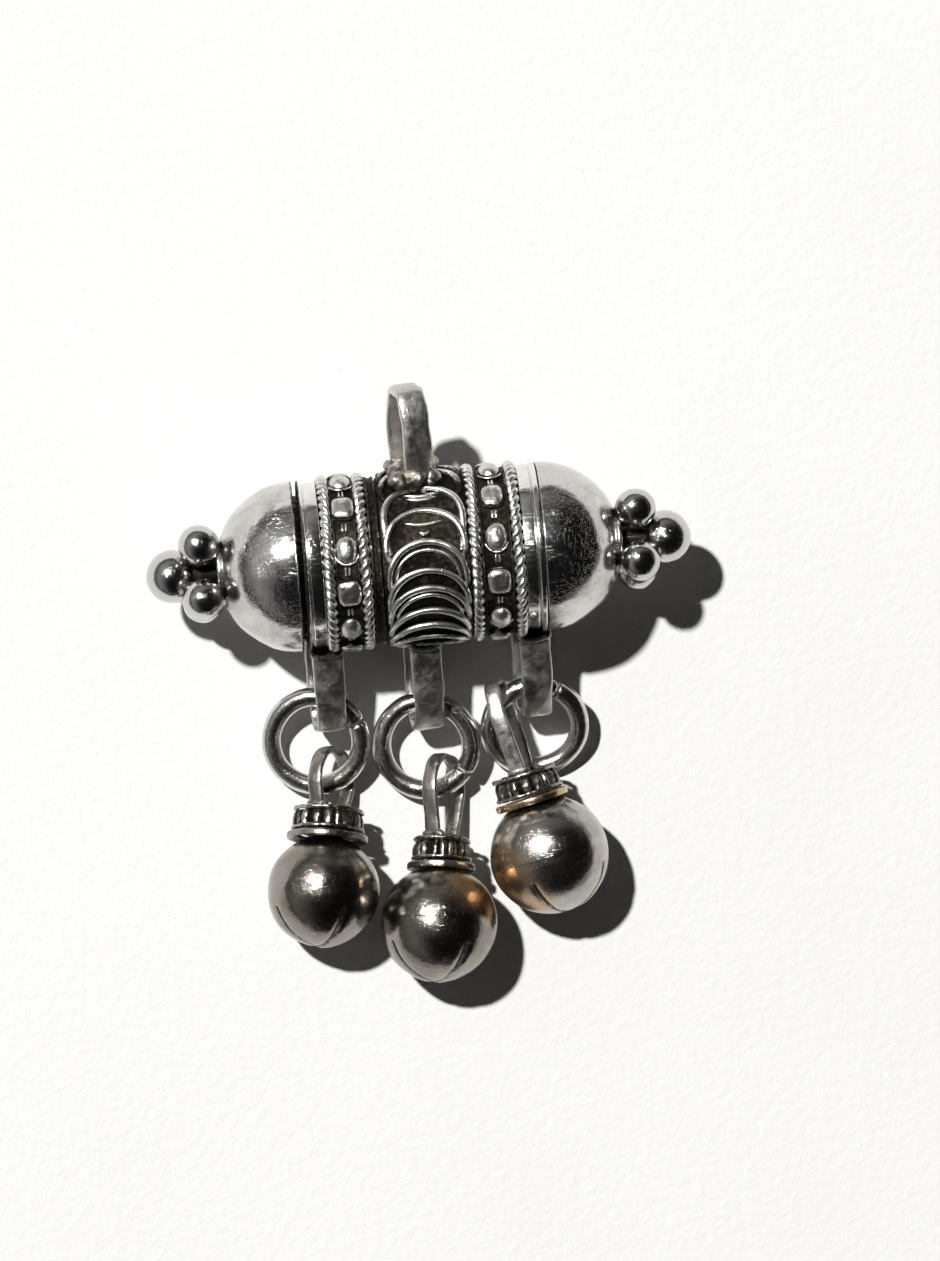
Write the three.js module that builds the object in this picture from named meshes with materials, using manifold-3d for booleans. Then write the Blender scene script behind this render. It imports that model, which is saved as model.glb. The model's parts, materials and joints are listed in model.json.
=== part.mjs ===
// Amulet pendant: a silver tube with domed ends, a bail, and three round bells on jump rings.
// Millimetres. It lies on its paper: +Z up from the paper, the tube along X, the bail towards +Y.
import * as THREE from "three";
import { mergeVertices } from "three/addons/utils/BufferGeometryUtils.js";
import Module from "manifold-3d";

const wasm = await Module();
wasm.setup();

// Fits
const SEAT = 0.05; // a ring on the tube, a ball on its dome
const RUN = 0.15; // side by side along the tube, and the cap's plug in the bore
const GAP = 0.3; // pieces that are cut by a neighbour or turned with it

// Tube. It has rolled until its loops came down near the paper.
const ROLL = 18;
const TUBE_LENGTH = 21.5;
const BORE_R = 6.5;
const TUBE_WALL = 0.6;

// Ornament round the tube, from each end inwards
const COLLAR_WIDTH = 1.75;
const COLLAR_THICK = 0.6;
const ROPE_D = 0.8;
const BEAD_STRIP_LEFT = 2.1;
const BEAD_STRIP_RIGHT = 2.7;
const STRIP_THICK = 0.3;
const BEAD_COUNT = 12;
const BEAD_WIDTH = 1.8;
const BEAD_LENGTH = 2.2;
const BEAD_RISE = 0.65;
const BEAD_PHASE = -27;
const EDGING_WIDTH = 0.9;
const EDGING_THICK = 0.4;
const SCALE_COUNT = 20;
const SCALE_PHASE = -9;
const SCALE_LENGTH = 4.2;
const SCALE_WIRE = 0.5;
const SCALE_SINK = 0.2;
const SCALE_SHEET = 0.35;

// Domed ends
const DOME_LENGTH = 7.4;
const DOME_WALL = 0.6;
const CAP_SEAM = 0.4;
const PLUG_LENGTH = 4;
const PLUG_WALL = 0.4;
const PLUG_LIP = 0.6;
const NECK_R = 2.9;
const NECK_RISE = 0.55;
const PEG_R = 1.15;
const RING_BALL_R = 1.82;
const RING_BALL_COUNT = 4;
const BALL_LATITUDE = 69.3;
const TIP_BALL_R = 2.4;
const LEFT_BALL_PHASE = -23;
const RIGHT_BALL_PHASE = 18;

// Bail
const BAIL_X = -0.3;
const BAIL_TOP = 16;
const BAIL_SPAN = 6;
const BAIL_WIDTH = 2.7;
const BAIL_THICK = 0.85;
const BAIL_FLAT = 2;
const BAIL_TWIST = 14;
const FOOT_WIDTH = 4.4;
const FOOT_DEPTH = 6.6;
const FOOT_RISE = 0.9;

// Strap loops under the tube
const LOOP_SPAN = 5.6;
const LOOP_WIDTH = 2.5;
const LOOP_THICK = 0.7;
const LOOP_FLAT = 2;
const LOOP_INSET = 1.4; // the outer loops, from the tube's ends

// Jump rings
const RING_R = 4.1;
const RING_WIRE = 1.75;
const RING_CUT = 0.3;

// Bells
const BELL_WALL = 0.5;
const BELL_RIM = 2;
const SLIT_WIDE = 0.6;
const SLIT_THIN = 0.35;
const FLANGE_EDGE = 0.35; // outside the crown
const FLANGE_HEIGHT = 0.7;
const CROWN_HEIGHT = 2;
const CROWN_NOTCHES = 18;
const NOTCH_DEPTH = 0.35;
const HANGER_SPAN = 6.1;
const HANGER_WIDTH = 1.8;
const HANGER_THICK = 0.55;
const HANGER_FLAT = 1.8;
const HANGER_FOOT = 0.7; // of the crown's width
const PELLET_R = 1.3;

// Left dangler. A loop's reach is from its seat to its end, and its slack from there back to the ring's wire.
// The shift is the ring's, sideways from the loop, and the lift is how high the loop holds its wire. A
// hanger's reach is from the bell's crown, and its slack from its own end back to the wire. All slacks are in
// the plan.
const LEFT_LOOP_REACH = 7.35;
const LEFT_LOOP_SLACK = 2.96;
const LEFT_SHIFT = -1.3;
const LEFT_LIFT = 3.2;
const LEFT_BELL_R = 5.1;
const LEFT_CROWN_R = 3.3;
const LEFT_HANGER_REACH = 5.35;
const LEFT_HANGER_SLACK = 3.5;

// Middle dangler
const MID_LOOP_REACH = 7.95;
const MID_LOOP_SLACK = 2.35;
const MID_LOOP_X = -0.5;
const MID_SHIFT = -0.2;
const MID_LIFT = 3.1;
const MID_BELL_R = 5.35;
const MID_CROWN_R = 2.7;
const MID_HANGER_REACH = 7.4;
const MID_HANGER_SLACK = 3.2;

// Right dangler
const RIGHT_LOOP_REACH = 7.55;
const RIGHT_LOOP_SLACK = 2.57;
const RIGHT_SHIFT = -0.1;
const RIGHT_LIFT = 4.6;
const RIGHT_BELL_R = 5.4;
const RIGHT_CROWN_R = 3.05;
const RIGHT_HANGER_REACH = 8.45;
const RIGHT_HANGER_SLACK = 2.1;

// Rolled paper in the tube
const SCROLL_R = 3.1;
const SCROLL_ROOM = 0.6; // under the roll, in the cap's plug
const SCROLL_LENGTH = 17.5;
const SCROLL_SHEET = 0.45;
const SCROLL_TURNS = 3;

// Facets
const TUBE_SIDES = 32;
const BALL_SIDES = 10;
const BEAD_SIDES = 8;
const BELL_SIDES = 20;
const BELL_STEPS = 5;
const DOME_STEPS = 5;
const RING_SIDES = 8;
const RING_STEPS = 32;
const ROPE_SIDES = 5;
const SCALE_STEPS = 5;
const BOW_STEPS = 4;
const LOOP_STEPS = 2;
const CUTTER_SIDES = 16;
const SCROLL_STEPS = 14; // in one turn

// Finishes
const BRIGHT = { color: 0xb9b6ae, roughness: 0.22, metalness: 1 };
const SATIN = { color: 0x8f8c85, roughness: 0.38, metalness: 1 };
const DARK = { color: 0x4b4844, roughness: 0.5, metalness: 1 };
const WARM = { color: 0x8a6b45, roughness: 0.4, metalness: 1 };
const PAPER = { color: 0xd9cfb4, roughness: 0.9, metalness: 0 };

// Worked-out places
const TUBE_R = BORE_R + TUBE_WALL;
const ROUND_R = TUBE_R + SEAT;
const DOME_R = ROUND_R + COLLAR_THICK; // flush with the collars
const END_X = TUBE_LENGTH / 2;
const ROPE_X = END_X - COLLAR_WIDTH - RUN - ROPE_D / 2;
const STRIP_END = ROPE_X - ROPE_D / 2 - RUN;
const ROPE_LEFT_X = STRIP_END - BEAD_STRIP_LEFT - RUN - ROPE_D / 2;
const ROPE_RIGHT_X = STRIP_END - BEAD_STRIP_RIGHT - RUN - ROPE_D / 2;
const EDGING_X = ROPE_LEFT_X - ROPE_D / 2 - RUN - EDGING_WIDTH / 2;
const FIELD_LEFT = -(EDGING_X - EDGING_WIDTH / 2 - RUN);
const FIELD_RIGHT = ROPE_RIGHT_X - ROPE_D / 2 - RUN;
const ORNAMENT_R = ROUND_R + ROPE_D;
const SEAT_R = ORNAMENT_R + GAP; // what the bail and the loops stand on
const AXIS_Z = ORNAMENT_R + SEAT;
const PLUG_R = BORE_R - RUN;

// How each dangler lies, in degrees. A ring slopes down from its top, and a tilt lifts its right side. The
// grip is where the hanger holds the ring, from +X, the heading is which way the bell lies, from -Y towards
// +X, and the spin turns the hanger's eye away from straight up.
const DANGLERS = [
  {
    side: "left",
    loop: { x: LOOP_INSET - END_X, reach: LEFT_LOOP_REACH, slack: LEFT_LOOP_SLACK },
    ring: { shift: LEFT_SHIFT, lift: LEFT_LIFT, slope: 11, tilt: 10, cut: 22, grip: -75 },
    bell: { r: LEFT_BELL_R, crown: LEFT_CROWN_R, heading: -9, slope: 11, slitTurn: 59 },
    hanger: { reach: LEFT_HANGER_REACH, slack: LEFT_HANGER_SLACK, spin: 56 },
  },
  {
    side: "mid",
    loop: { x: MID_LOOP_X, reach: MID_LOOP_REACH, slack: MID_LOOP_SLACK },
    ring: { shift: MID_SHIFT, lift: MID_LIFT, slope: 10, tilt: 10, cut: -36, grip: -72 },
    bell: { r: MID_BELL_R, crown: MID_CROWN_R, heading: -7, slope: 10, slitTurn: 60 },
    hanger: { reach: MID_HANGER_REACH, slack: MID_HANGER_SLACK, spin: 60 },
  },
  {
    side: "right",
    loop: { x: END_X - LOOP_INSET, reach: RIGHT_LOOP_REACH, slack: RIGHT_LOOP_SLACK },
    ring: { shift: RIGHT_SHIFT, lift: RIGHT_LIFT, slope: 26, tilt: 0, cut: 60, grip: 138 },
    bell: { r: RIGHT_BELL_R, crown: RIGHT_CROWN_R, heading: 13.2, slope: 1, slitTurn: 75 },
    hanger: { reach: RIGHT_HANGER_REACH, slack: RIGHT_HANGER_SLACK, spin: 76 },
  },
];

const radians = THREE.MathUtils.degToRad;
const point = (x, y) => new THREE.Vector2(x, y);

// A mesh with its own material, hung on a parent.
function piece(parent, name, geometry, finish) {
  const mesh = new THREE.Mesh(geometry, new THREE.MeshStandardMaterial(finish));
  mesh.name = name;
  parent.add(mesh);
  return mesh;
}

// Solids for joining and cutting, and back to a geometry.
function solid(geometry) {
  const bare = geometry.clone();
  bare.deleteAttribute("normal");
  bare.deleteAttribute("uv");
  const merged = mergeVertices(bare, 1e-4);
  return new wasm.Manifold(
    new wasm.Mesh({
      numProp: 3,
      vertProperties: new Float32Array(merged.attributes.position.array),
      triVerts: new Uint32Array(merged.index.array),
    }),
  );
}

function surface(manifold) {
  const mesh = manifold.getMesh();
  const geometry = new THREE.BufferGeometry();
  geometry.setAttribute("position", new THREE.BufferAttribute(mesh.vertProperties, 3));
  geometry.setIndex(new THREE.BufferAttribute(mesh.triVerts, 1));
  geometry.computeVertexNormals();
  return geometry;
}

const join = (first, ...others) => surface(others.reduce((sum, g) => sum.add(solid(g)), solid(first)));
const cut = (first, ...others) => surface(others.reduce((rest, g) => rest.subtract(solid(g)), solid(first)));

// A profile of [radius, height] points turned about Y, wound so that its faces point out.
function turned(profile, sides) {
  const area = THREE.ShapeUtils.area(profile);
  const outward = area > 0 ? profile : [...profile].reverse();
  const onAxis = profile[0].x === 0 && profile[profile.length - 1].x === 0;
  return new THREE.LatheGeometry(onAxis ? outward : [...outward, outward[0]], sides);
}

// The same with its axis along the tube: profile heights become X.
const alongTube = (profile, sides = TUBE_SIDES) => turned(profile, sides).rotateZ(-Math.PI / 2);

// A flat ring round the tube.
function band(centreX, width, innerR, thickness) {
  const low = centreX - width / 2;
  const high = centreX + width / 2;
  const outerR = innerR + thickness;
  return alongTube([point(innerR, low), point(outerR, low), point(outerR, high), point(innerR, high)]);
}

// A cutter as long as the tube and more.
function cylinderAlongTube(r) {
  const reach = TUBE_LENGTH;
  return alongTube([point(0, -reach), point(r, -reach), point(r, reach), point(0, reach)]);
}

// Where a feature sits round the tube: 0 faces up, positive turns towards the bells.
function onTube(geometry, x, radius, angle) {
  return geometry.translate(0, 0, radius).rotateX(radians(angle)).translate(x, 0, 0);
}

// A strip bent to a U with a flat crown: the legs start at y = 0, and its width runs along Z. The foot is the
// legs' span where they start.
function strap(span, height, thickness, flat, width, bendSteps, foot = span) {
  const half = span / 2;
  const bend = half - flat / 2;
  const inner = bend - thickness;
  const turn = height - bend;
  const shape = new THREE.Shape();
  shape.moveTo(-foot / 2, 0);
  shape.lineTo(-half, turn);
  shape.absarc(bend - half, turn, bend, Math.PI, Math.PI / 2, true);
  shape.lineTo(half - bend, height);
  shape.absarc(half - bend, turn, bend, Math.PI / 2, 0, true);
  shape.lineTo(foot / 2, 0);
  shape.lineTo(foot / 2 - thickness, 0);
  shape.lineTo(half - thickness, turn);
  shape.absarc(half - bend, turn, inner, 0, Math.PI / 2, false);
  shape.lineTo(bend - half, height - thickness);
  shape.absarc(bend - half, turn, inner, Math.PI / 2, Math.PI, false);
  shape.lineTo(thickness - foot / 2, 0);
  const options = { depth: width, bevelEnabled: false, curveSegments: bendSteps };
  return new THREE.ExtrudeGeometry(shape, options).translate(0, 0, -width / 2);
}

// Tube

function tubeGeometry() {
  return band(0, TUBE_LENGTH, BORE_R, TUBE_WALL);
}

function collarGeometry(side) {
  const inner = ROUND_R;
  const crown = ROUND_R + COLLAR_THICK;
  const bevel = COLLAR_THICK / 2;
  const low = END_X - COLLAR_WIDTH;
  const profile = [
    point(inner, low),
    point(crown - bevel, low),
    point(crown, low + bevel),
    point(crown, END_X - bevel),
    point(crown - bevel, END_X),
    point(inner, END_X),
  ];
  return alongTube(profile.map((p) => point(p.x, side * p.y)));
}

function ropeGeometry(x) {
  const profile = [];
  for (let i = 0; i < ROPE_SIDES; i++) {
    const angle = (2 * Math.PI * i) / ROPE_SIDES;
    const r = ROPE_D / 2;
    profile.push(point(ROUND_R + r + r * Math.cos(angle), x + r * Math.sin(angle)));
  }
  return alongTube(profile);
}

// A strip with square pads and round granules in turn.
function beadStripGeometry(centreX, width) {
  const stripR = ROUND_R + STRIP_THICK;
  const beads = [];
  for (let i = 0; i < BEAD_COUNT; i++) {
    const angle = BEAD_PHASE + (360 * i) / BEAD_COUNT;
    const bead = i % 2 === 0 ? roundBead() : squareBead();
    beads.push(onTube(bead, centreX, stripR, angle));
  }
  return cut(join(band(centreX, width, ROUND_R, STRIP_THICK), ...beads), cylinderAlongTube(ROUND_R));
}

function roundBead() {
  const ball = new THREE.SphereGeometry(1, BEAD_SIDES, BEAD_SIDES / 2);
  return ball.scale(BEAD_WIDTH / 2, BEAD_LENGTH / 2, BEAD_RISE);
}

function squareBead() {
  const bevel = BEAD_RISE / 3;
  const half = BEAD_WIDTH / 2 - bevel;
  const corners = [point(-half, -half), point(half, -half), point(half, half), point(-half, half)];
  const pad = new THREE.Shape(corners);
  const sunk = STRIP_THICK / 2;
  const depth = BEAD_RISE + sunk - 2 * bevel;
  const options = { depth, bevelSize: bevel, bevelThickness: bevel, bevelSegments: 1 };
  return new THREE.ExtrudeGeometry(pad, options).translate(0, 0, bevel - sunk);
}

// One horseshoe wire on the tube: its crown points to the bail, and its legs sink as they run to the bells.
class ScaleCurve extends THREE.Curve {
  constructor(crownAngle, centreX, halfWidth, radius) {
    super();
    Object.assign(this, { crownAngle, centreX, halfWidth, radius });
  }

  getPoint(t, target = new THREE.Vector3()) {
    const sweep = Math.PI * (1 - t);
    const x = this.centreX + this.halfWidth * Math.cos(sweep);
    const fromCrown = (SCALE_LENGTH * (1 - Math.sin(sweep))) / this.radius;
    const angle = radians(this.crownAngle) + fromCrown;
    const r = this.radius - SCALE_SINK * (1 - Math.sin(sweep));
    return target.set(x, -r * Math.sin(angle), r * Math.cos(angle));
  }
}

function scaleFieldGeometry() {
  const wireR = SCALE_WIRE / 2;
  const centreX = (FIELD_LEFT + FIELD_RIGHT) / 2;
  const width = FIELD_RIGHT - FIELD_LEFT;
  const sheetR = ROUND_R + SCALE_SHEET;
  const section = new THREE.Shape([point(wireR, 0), point(0, wireR), point(-wireR, 0), point(0, -wireR)]);
  const wires = [];
  for (let i = 0; i < SCALE_COUNT; i++) {
    const crown = SCALE_PHASE + (360 * i) / SCALE_COUNT;
    const extrudePath = new ScaleCurve(crown, centreX, width / 2 - wireR - SEAT, sheetR + wireR / 2);
    wires.push(new THREE.ExtrudeGeometry(section, { steps: SCALE_STEPS, extrudePath }));
  }
  return join(band(centreX, width, ROUND_R, SCALE_SHEET), ...wires);
}

function bailGeometry() {
  const base = TUBE_R / 2;
  const bow = strap(BAIL_SPAN, BAIL_TOP - base, BAIL_THICK, BAIL_FLAT, BAIL_WIDTH, BOW_STEPS);
  bow.rotateY(Math.PI / 2 + radians(BAIL_TWIST)).translate(BAIL_X, base, 0);
  const footTop = SEAT_R + FOOT_RISE;
  const foot = new THREE.BoxGeometry(FOOT_WIDTH, footTop - base, FOOT_DEPTH);
  foot.translate(BAIL_X, (footTop + base) / 2, 0);
  return cut(join(bow, foot), cylinderAlongTube(SEAT_R));
}

function loopGeometry(x, end) {
  const base = TUBE_R / 2;
  const bow = strap(LOOP_SPAN, end - base, LOOP_THICK, LOOP_FLAT, LOOP_WIDTH, LOOP_STEPS);
  bow.translate(0, base, 0).rotateY(Math.PI / 2).rotateZ(Math.PI).translate(x, 0, 0);
  return cut(bow, cylinderAlongTube(SEAT_R));
}

// Domed ends. Each piece is made for an end at x = 0 with its dome towards +X.

// An open shell: down its inside from the axis, and up its outside back to the axis.
function shell(outer, inner) {
  return [...inner].reverse().concat(outer);
}

function domeGeometry() {
  const opening = Math.acos(NECK_R / DOME_R);
  const wall = (r, length) => {
    const line = [];
    for (let i = 0; i <= DOME_STEPS; i++) {
      const angle = (opening * i) / DOME_STEPS;
      line.push(point(r * Math.cos(angle), length * Math.sin(angle)));
    }
    return [...line, point(0, length * Math.sin(opening))];
  };
  return alongTube(shell(wall(DOME_R, DOME_LENGTH), wall(DOME_R - DOME_WALL, DOME_LENGTH - DOME_WALL)));
}

// The cap's plug: a sleeve for the bore, with a lip that fills the dome's mouth.
function plugGeometry() {
  const inner = PLUG_R - PLUG_WALL;
  const lipR = DOME_R - DOME_WALL - RUN;
  const reach = -CAP_SEAM - PLUG_LENGTH;
  return alongTube([
    point(inner, reach),
    point(PLUG_R, reach),
    point(PLUG_R, 0),
    point(lipR, 0),
    point(lipR, PLUG_LIP),
    point(inner, PLUG_LIP),
  ]);
}

// The ring balls rest on the dome at one latitude, and the tip ball rests on them.
function ballPlaces(phase) {
  const latitude = radians(BALL_LATITUDE);
  const normal = point(DOME_LENGTH * Math.cos(latitude), DOME_R * Math.sin(latitude)).normalize();
  const radial = DOME_R * Math.cos(latitude) + normal.x * (RING_BALL_R + SEAT);
  const along = DOME_LENGTH * Math.sin(latitude) + normal.y * (RING_BALL_R + SEAT);
  const ring = [];
  for (let i = 0; i < RING_BALL_COUNT; i++) {
    const angle = radians(phase + (360 * i) / RING_BALL_COUNT);
    ring.push(new THREE.Vector3(along, -radial * Math.sin(angle), radial * Math.cos(angle)));
  }
  const reach = RING_BALL_R + TIP_BALL_R + SEAT;
  return { ring, tip: along + Math.sqrt(reach * reach - radial * radial) };
}

const ballGeometry = (r, sides = BALL_SIDES) => new THREE.SphereGeometry(r, sides, Math.round(0.7 * sides));

// A disc on the dome's flat end, with a peg that carries the tip ball, cut clear of the ring balls.
function neckGeometry(places) {
  const base = DOME_LENGTH * Math.sin(Math.acos(NECK_R / DOME_R)) + SEAT;
  const pegEnd = places.tip - TIP_BALL_R - SEAT;
  const profile = [
    point(0, base),
    point(NECK_R, base),
    point(NECK_R, base + NECK_RISE),
    point(PEG_R, base + NECK_RISE),
    point(PEG_R, pegEnd),
    point(0, pegEnd),
  ];
  const cutter = ballGeometry(RING_BALL_R + GAP, CUTTER_SIDES);
  const balls = places.ring.map((p) => cutter.clone().translate(p.x, p.y, p.z));
  return cut(alongTube(profile, TUBE_SIDES / 2), ...balls);
}

function addEnd(parent, side, phase) {
  const places = ballPlaces(phase);
  piece(parent, `dome_${side}`, domeGeometry(), BRIGHT);
  piece(parent, `neck_${side}`, neckGeometry(places), DARK);
  places.ring.forEach((p, i) => {
    piece(parent, `granule_${side}_${i + 1}`, ballGeometry(RING_BALL_R), BRIGHT).position.copy(p);
  });
  piece(parent, `tip_${side}`, ballGeometry(TIP_BALL_R), BRIGHT).position.set(places.tip, 0, 0);
}

// A sheet rolled round the tube's axis, as one spiral band.
function scrollGeometry() {
  const steps = SCROLL_TURNS * SCROLL_STEPS;
  const pitch = SCROLL_SHEET + GAP;
  const line = (offset) => {
    const points = [];
    for (let i = 0; i <= steps; i++) {
      const r = SCROLL_R - SCROLL_SHEET - pitch * (i / SCROLL_STEPS) + offset;
      const angle = (2 * Math.PI * i) / SCROLL_STEPS;
      points.push(point(r * Math.cos(angle), r * Math.sin(angle)));
    }
    return points;
  };
  const outline = new THREE.Shape([...line(SCROLL_SHEET), ...line(0).reverse()]);
  const options = { depth: SCROLL_LENGTH, bevelEnabled: false };
  return new THREE.ExtrudeGeometry(outline, options).rotateY(Math.PI / 2);
}

// Jump ring, about its own centre, cut through at one place. Its top is at +Y.
function ringGeometry(cutAngle) {
  const wireR = RING_WIRE / 2;
  const blade = new THREE.BoxGeometry(2 * RING_WIRE, RING_CUT, 2 * RING_WIRE);
  blade.translate(RING_R, 0, 0).rotateZ(radians(cutAngle));
  return cut(new THREE.TorusGeometry(RING_R, wireR, RING_SIDES, RING_STEPS), blade);
}

// Bell, about the centre of its ball, with the hanger's crown towards +Y and the eye along Z.

function halfBallProfile(r, up) {
  const wall = (radius) => {
    const line = [];
    for (let i = 0; i <= BELL_STEPS; i++) {
      const angle = (Math.PI * i) / 2 / BELL_STEPS;
      line.push(point(i === BELL_STEPS ? 0 : radius * Math.cos(angle), up * radius * Math.sin(angle)));
    }
    return line;
  };
  return shell(wall(r), wall(r - BELL_WALL));
}

function upperShellGeometry(r) {
  return turned(halfBallProfile(r, 1), BELL_SIDES).translate(0, GAP / 2, 0);
}

// The lower shell has a wide and a thin slit that cross at its pole and stop below the rim.
function lowerShellGeometry(r, slitTurn) {
  const depth = 2 * r;
  const slit = (width) => new THREE.BoxGeometry(3 * r, depth, width).translate(0, -BELL_RIM - depth / 2, 0);
  const ball = turned(halfBallProfile(r, -1), BELL_SIDES).translate(0, -GAP / 2, 0);
  const wide = slit(SLIT_WIDE).rotateY(radians(slitTurn));
  const thin = slit(SLIT_THIN).rotateY(radians(slitTurn + 90));
  return cut(ball, wide, thin);
}

const flangeTop = (r) => r + GAP / 2;
const crownBase = (r) => flangeTop(r) + GAP;
const crownTop = (r) => crownBase(r) + CROWN_HEIGHT;

function ballClearance(r) {
  return new THREE.SphereGeometry(r + GAP, BELL_SIDES, 2 * BELL_STEPS).translate(0, GAP / 2, 0);
}

function flangeGeometry(r, crown) {
  const top = flangeTop(r);
  const low = top - FLANGE_HEIGHT;
  const edge = crown + FLANGE_EDGE;
  const profile = [point(0, low), point(edge, low), point(edge, top), point(0, top)];
  return cut(turned(profile, BELL_SIDES), ballClearance(r));
}

// The crown is a disc with notches round its edge.
function crownGeometry(r, crown) {
  const points = [];
  for (let i = 0; i < 2 * CROWN_NOTCHES; i++) {
    const angle = (Math.PI * i) / CROWN_NOTCHES;
    const radius = i % 2 === 0 ? crown : crown - NOTCH_DEPTH;
    points.push(point(radius * Math.cos(angle), radius * Math.sin(angle)));
  }
  const outline = new THREE.Shape(points);
  const disc = new THREE.ExtrudeGeometry(outline, { depth: CROWN_HEIGHT, bevelEnabled: false });
  disc.rotateX(-Math.PI / 2).translate(0, crownBase(r), 0);
  return cut(disc, ballClearance(r));
}

const hangerBase = (r) => crownTop(r) + GAP;

function hangerGeometry(r, crown, reach) {
  const foot = 2 * crown * HANGER_FOOT;
  const bow = strap(HANGER_SPAN, reach, HANGER_THICK, HANGER_FLAT, HANGER_WIDTH, BOW_STEPS, foot);
  return bow.translate(0, hangerBase(r), 0);
}

function addBell(parent, side, { r, crown, slitTurn }, hanger) {
  piece(parent, `bell_upper_${side}`, upperShellGeometry(r), SATIN);
  piece(parent, `bell_lower_${side}`, lowerShellGeometry(r, slitTurn), SATIN);
  piece(parent, `bell_flange_${side}`, flangeGeometry(r, crown), side === "right" ? WARM : DARK);
  piece(parent, `bell_crown_${side}`, crownGeometry(r, crown), DARK);
  piece(parent, `bell_hanger_${side}`, hangerGeometry(r, crown, hanger.reach), SATIN);
}

// A group turned so that its +Y points along a direction, and its +Z is spin degrees off straight up.
function aim(group, direction, spin) {
  const up = new THREE.Vector3(0, 0, 1);
  const sideways = direction.clone().cross(up).normalize();
  const level = sideways.clone().cross(direction);
  const turn = radians(spin);
  const eye = level.multiplyScalar(Math.cos(turn)).addScaledVector(sideways, Math.sin(turn));
  const across = direction.clone().cross(eye);
  group.quaternion.setFromRotationMatrix(new THREE.Matrix4().makeBasis(across, direction, eye));
}

function addDangler(model, barrel, { side, loop, ring, bell, hanger }) {
  const loopEnd = SEAT_R + loop.reach;
  piece(barrel, `loop_${side}`, loopGeometry(loop.x, loopEnd), SATIN);

  // The ring's wire lies in the loop, and the ring slopes down from there.
  const lie = new THREE.Euler(radians(ring.slope), -radians(ring.tilt), 0);
  const turn = new THREE.Quaternion().setFromEuler(lie);
  const topY = loop.slack - loopEnd * Math.cos(radians(ROLL));
  const top = new THREE.Vector3(loop.x + ring.shift, topY, ring.lift);
  const centre = top.clone().sub(new THREE.Vector3(0, RING_R, 0).applyQuaternion(turn));
  const wire = piece(model, `jump_ring_${side}`, ringGeometry(ring.cut), BRIGHT);
  wire.position.copy(centre);
  wire.quaternion.copy(turn);

  // The hanger holds the ring, and the ball lies on the paper.
  const grip = radians(ring.grip);
  const held = new THREE.Vector3(Math.cos(grip), Math.sin(grip), 0).multiplyScalar(RING_R);
  const grippedAt = held.applyQuaternion(turn).add(centre);
  const heading = radians(bell.heading);
  const away = new THREE.Vector3(Math.sin(heading), -Math.cos(heading), 0);
  const slope = radians(bell.slope);
  const axis = away.clone().multiplyScalar(-Math.cos(slope)).setZ(-Math.sin(slope));
  const ball = new THREE.Group();
  ball.position.copy(grippedAt).addScaledVector(away, hangerBase(bell.r) + hanger.reach - hanger.slack);
  ball.position.z = bell.r;
  aim(ball, axis, hanger.spin);
  addBell(ball, side, bell, hanger);
  model.add(ball);

  // The pellet lies at the bottom of the ball.
  const pellet = piece(model, `pellet_${side}`, ballGeometry(PELLET_R), DARK);
  pellet.position.copy(ball.position).setZ(BELL_WALL + GAP + PELLET_R);

  const pivots = model.userData.pivots;
  pivots[`ring_${side}`] = { at: top, axis: new THREE.Vector3(-1, 0, 0) };
  pivots[`bell_${side}`] = { at: grippedAt, axis: new THREE.Vector3(away.y, -away.x, 0) };
  pivots[`pellet_${side}`] = { at: ball.position.clone(), axis };
}

const model = new THREE.Group();
model.userData.pivots = {};

const barrel = new THREE.Group();
barrel.position.z = AXIS_Z;
barrel.rotation.x = radians(ROLL);
model.add(barrel);
piece(barrel, "tube", tubeGeometry(), SATIN);
piece(barrel, "collar_left", collarGeometry(-1), BRIGHT);
piece(barrel, "collar_right", collarGeometry(1), BRIGHT);
piece(barrel, "rope_outer_left", ropeGeometry(-ROPE_X), SATIN);
piece(barrel, "rope_inner_left", ropeGeometry(-ROPE_LEFT_X), SATIN);
piece(barrel, "rope_inner_right", ropeGeometry(ROPE_RIGHT_X), SATIN);
piece(barrel, "rope_outer_right", ropeGeometry(ROPE_X), SATIN);
piece(barrel, "bead_strip_left", beadStripGeometry(BEAD_STRIP_LEFT / 2 - STRIP_END, BEAD_STRIP_LEFT), SATIN);
const rightStripX = STRIP_END - BEAD_STRIP_RIGHT / 2;
piece(barrel, "bead_strip_right", beadStripGeometry(rightStripX, BEAD_STRIP_RIGHT), SATIN);
piece(barrel, "edging_strip", band(-EDGING_X, EDGING_WIDTH, ROUND_R, EDGING_THICK), DARK);
piece(barrel, "scale_field", scaleFieldGeometry(), DARK);
piece(barrel, "bail", bailGeometry(), SATIN);

const rightEnd = new THREE.Group();
rightEnd.position.x = END_X + SEAT;
barrel.add(rightEnd);
addEnd(rightEnd, "right", RIGHT_BALL_PHASE);

// The cap on the left end is the same dome turned half round, with its plug.
const leftCap = new THREE.Group();
leftCap.position.x = -END_X - CAP_SEAM;
leftCap.rotation.z = Math.PI;
barrel.add(leftCap);
addEnd(leftCap, "left", LEFT_BALL_PHASE);
piece(leftCap, "cap_plug", plugGeometry(), SATIN);

// The rolled paper lies on the plug's inside, clear of the dome's end.
const scroll = piece(model, "scroll", scrollGeometry(), PAPER);
scroll.position.set(-SCROLL_LENGTH / 2, 0, AXIS_Z - (PLUG_R - PLUG_WALL - SCROLL_ROOM - SCROLL_R));

for (const dangler of DANGLERS) addDangler(model, barrel, dangler);

// The frame's origin is under the middle of the whole pendant, on the paper.
const bounds = new THREE.Box3().setFromObject(model, true);
const middle = bounds.getCenter(new THREE.Vector3());
model.position.set(-middle.x, -middle.y, -bounds.min.z);

const group = new THREE.Group();
group.add(model);
export default group;
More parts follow.
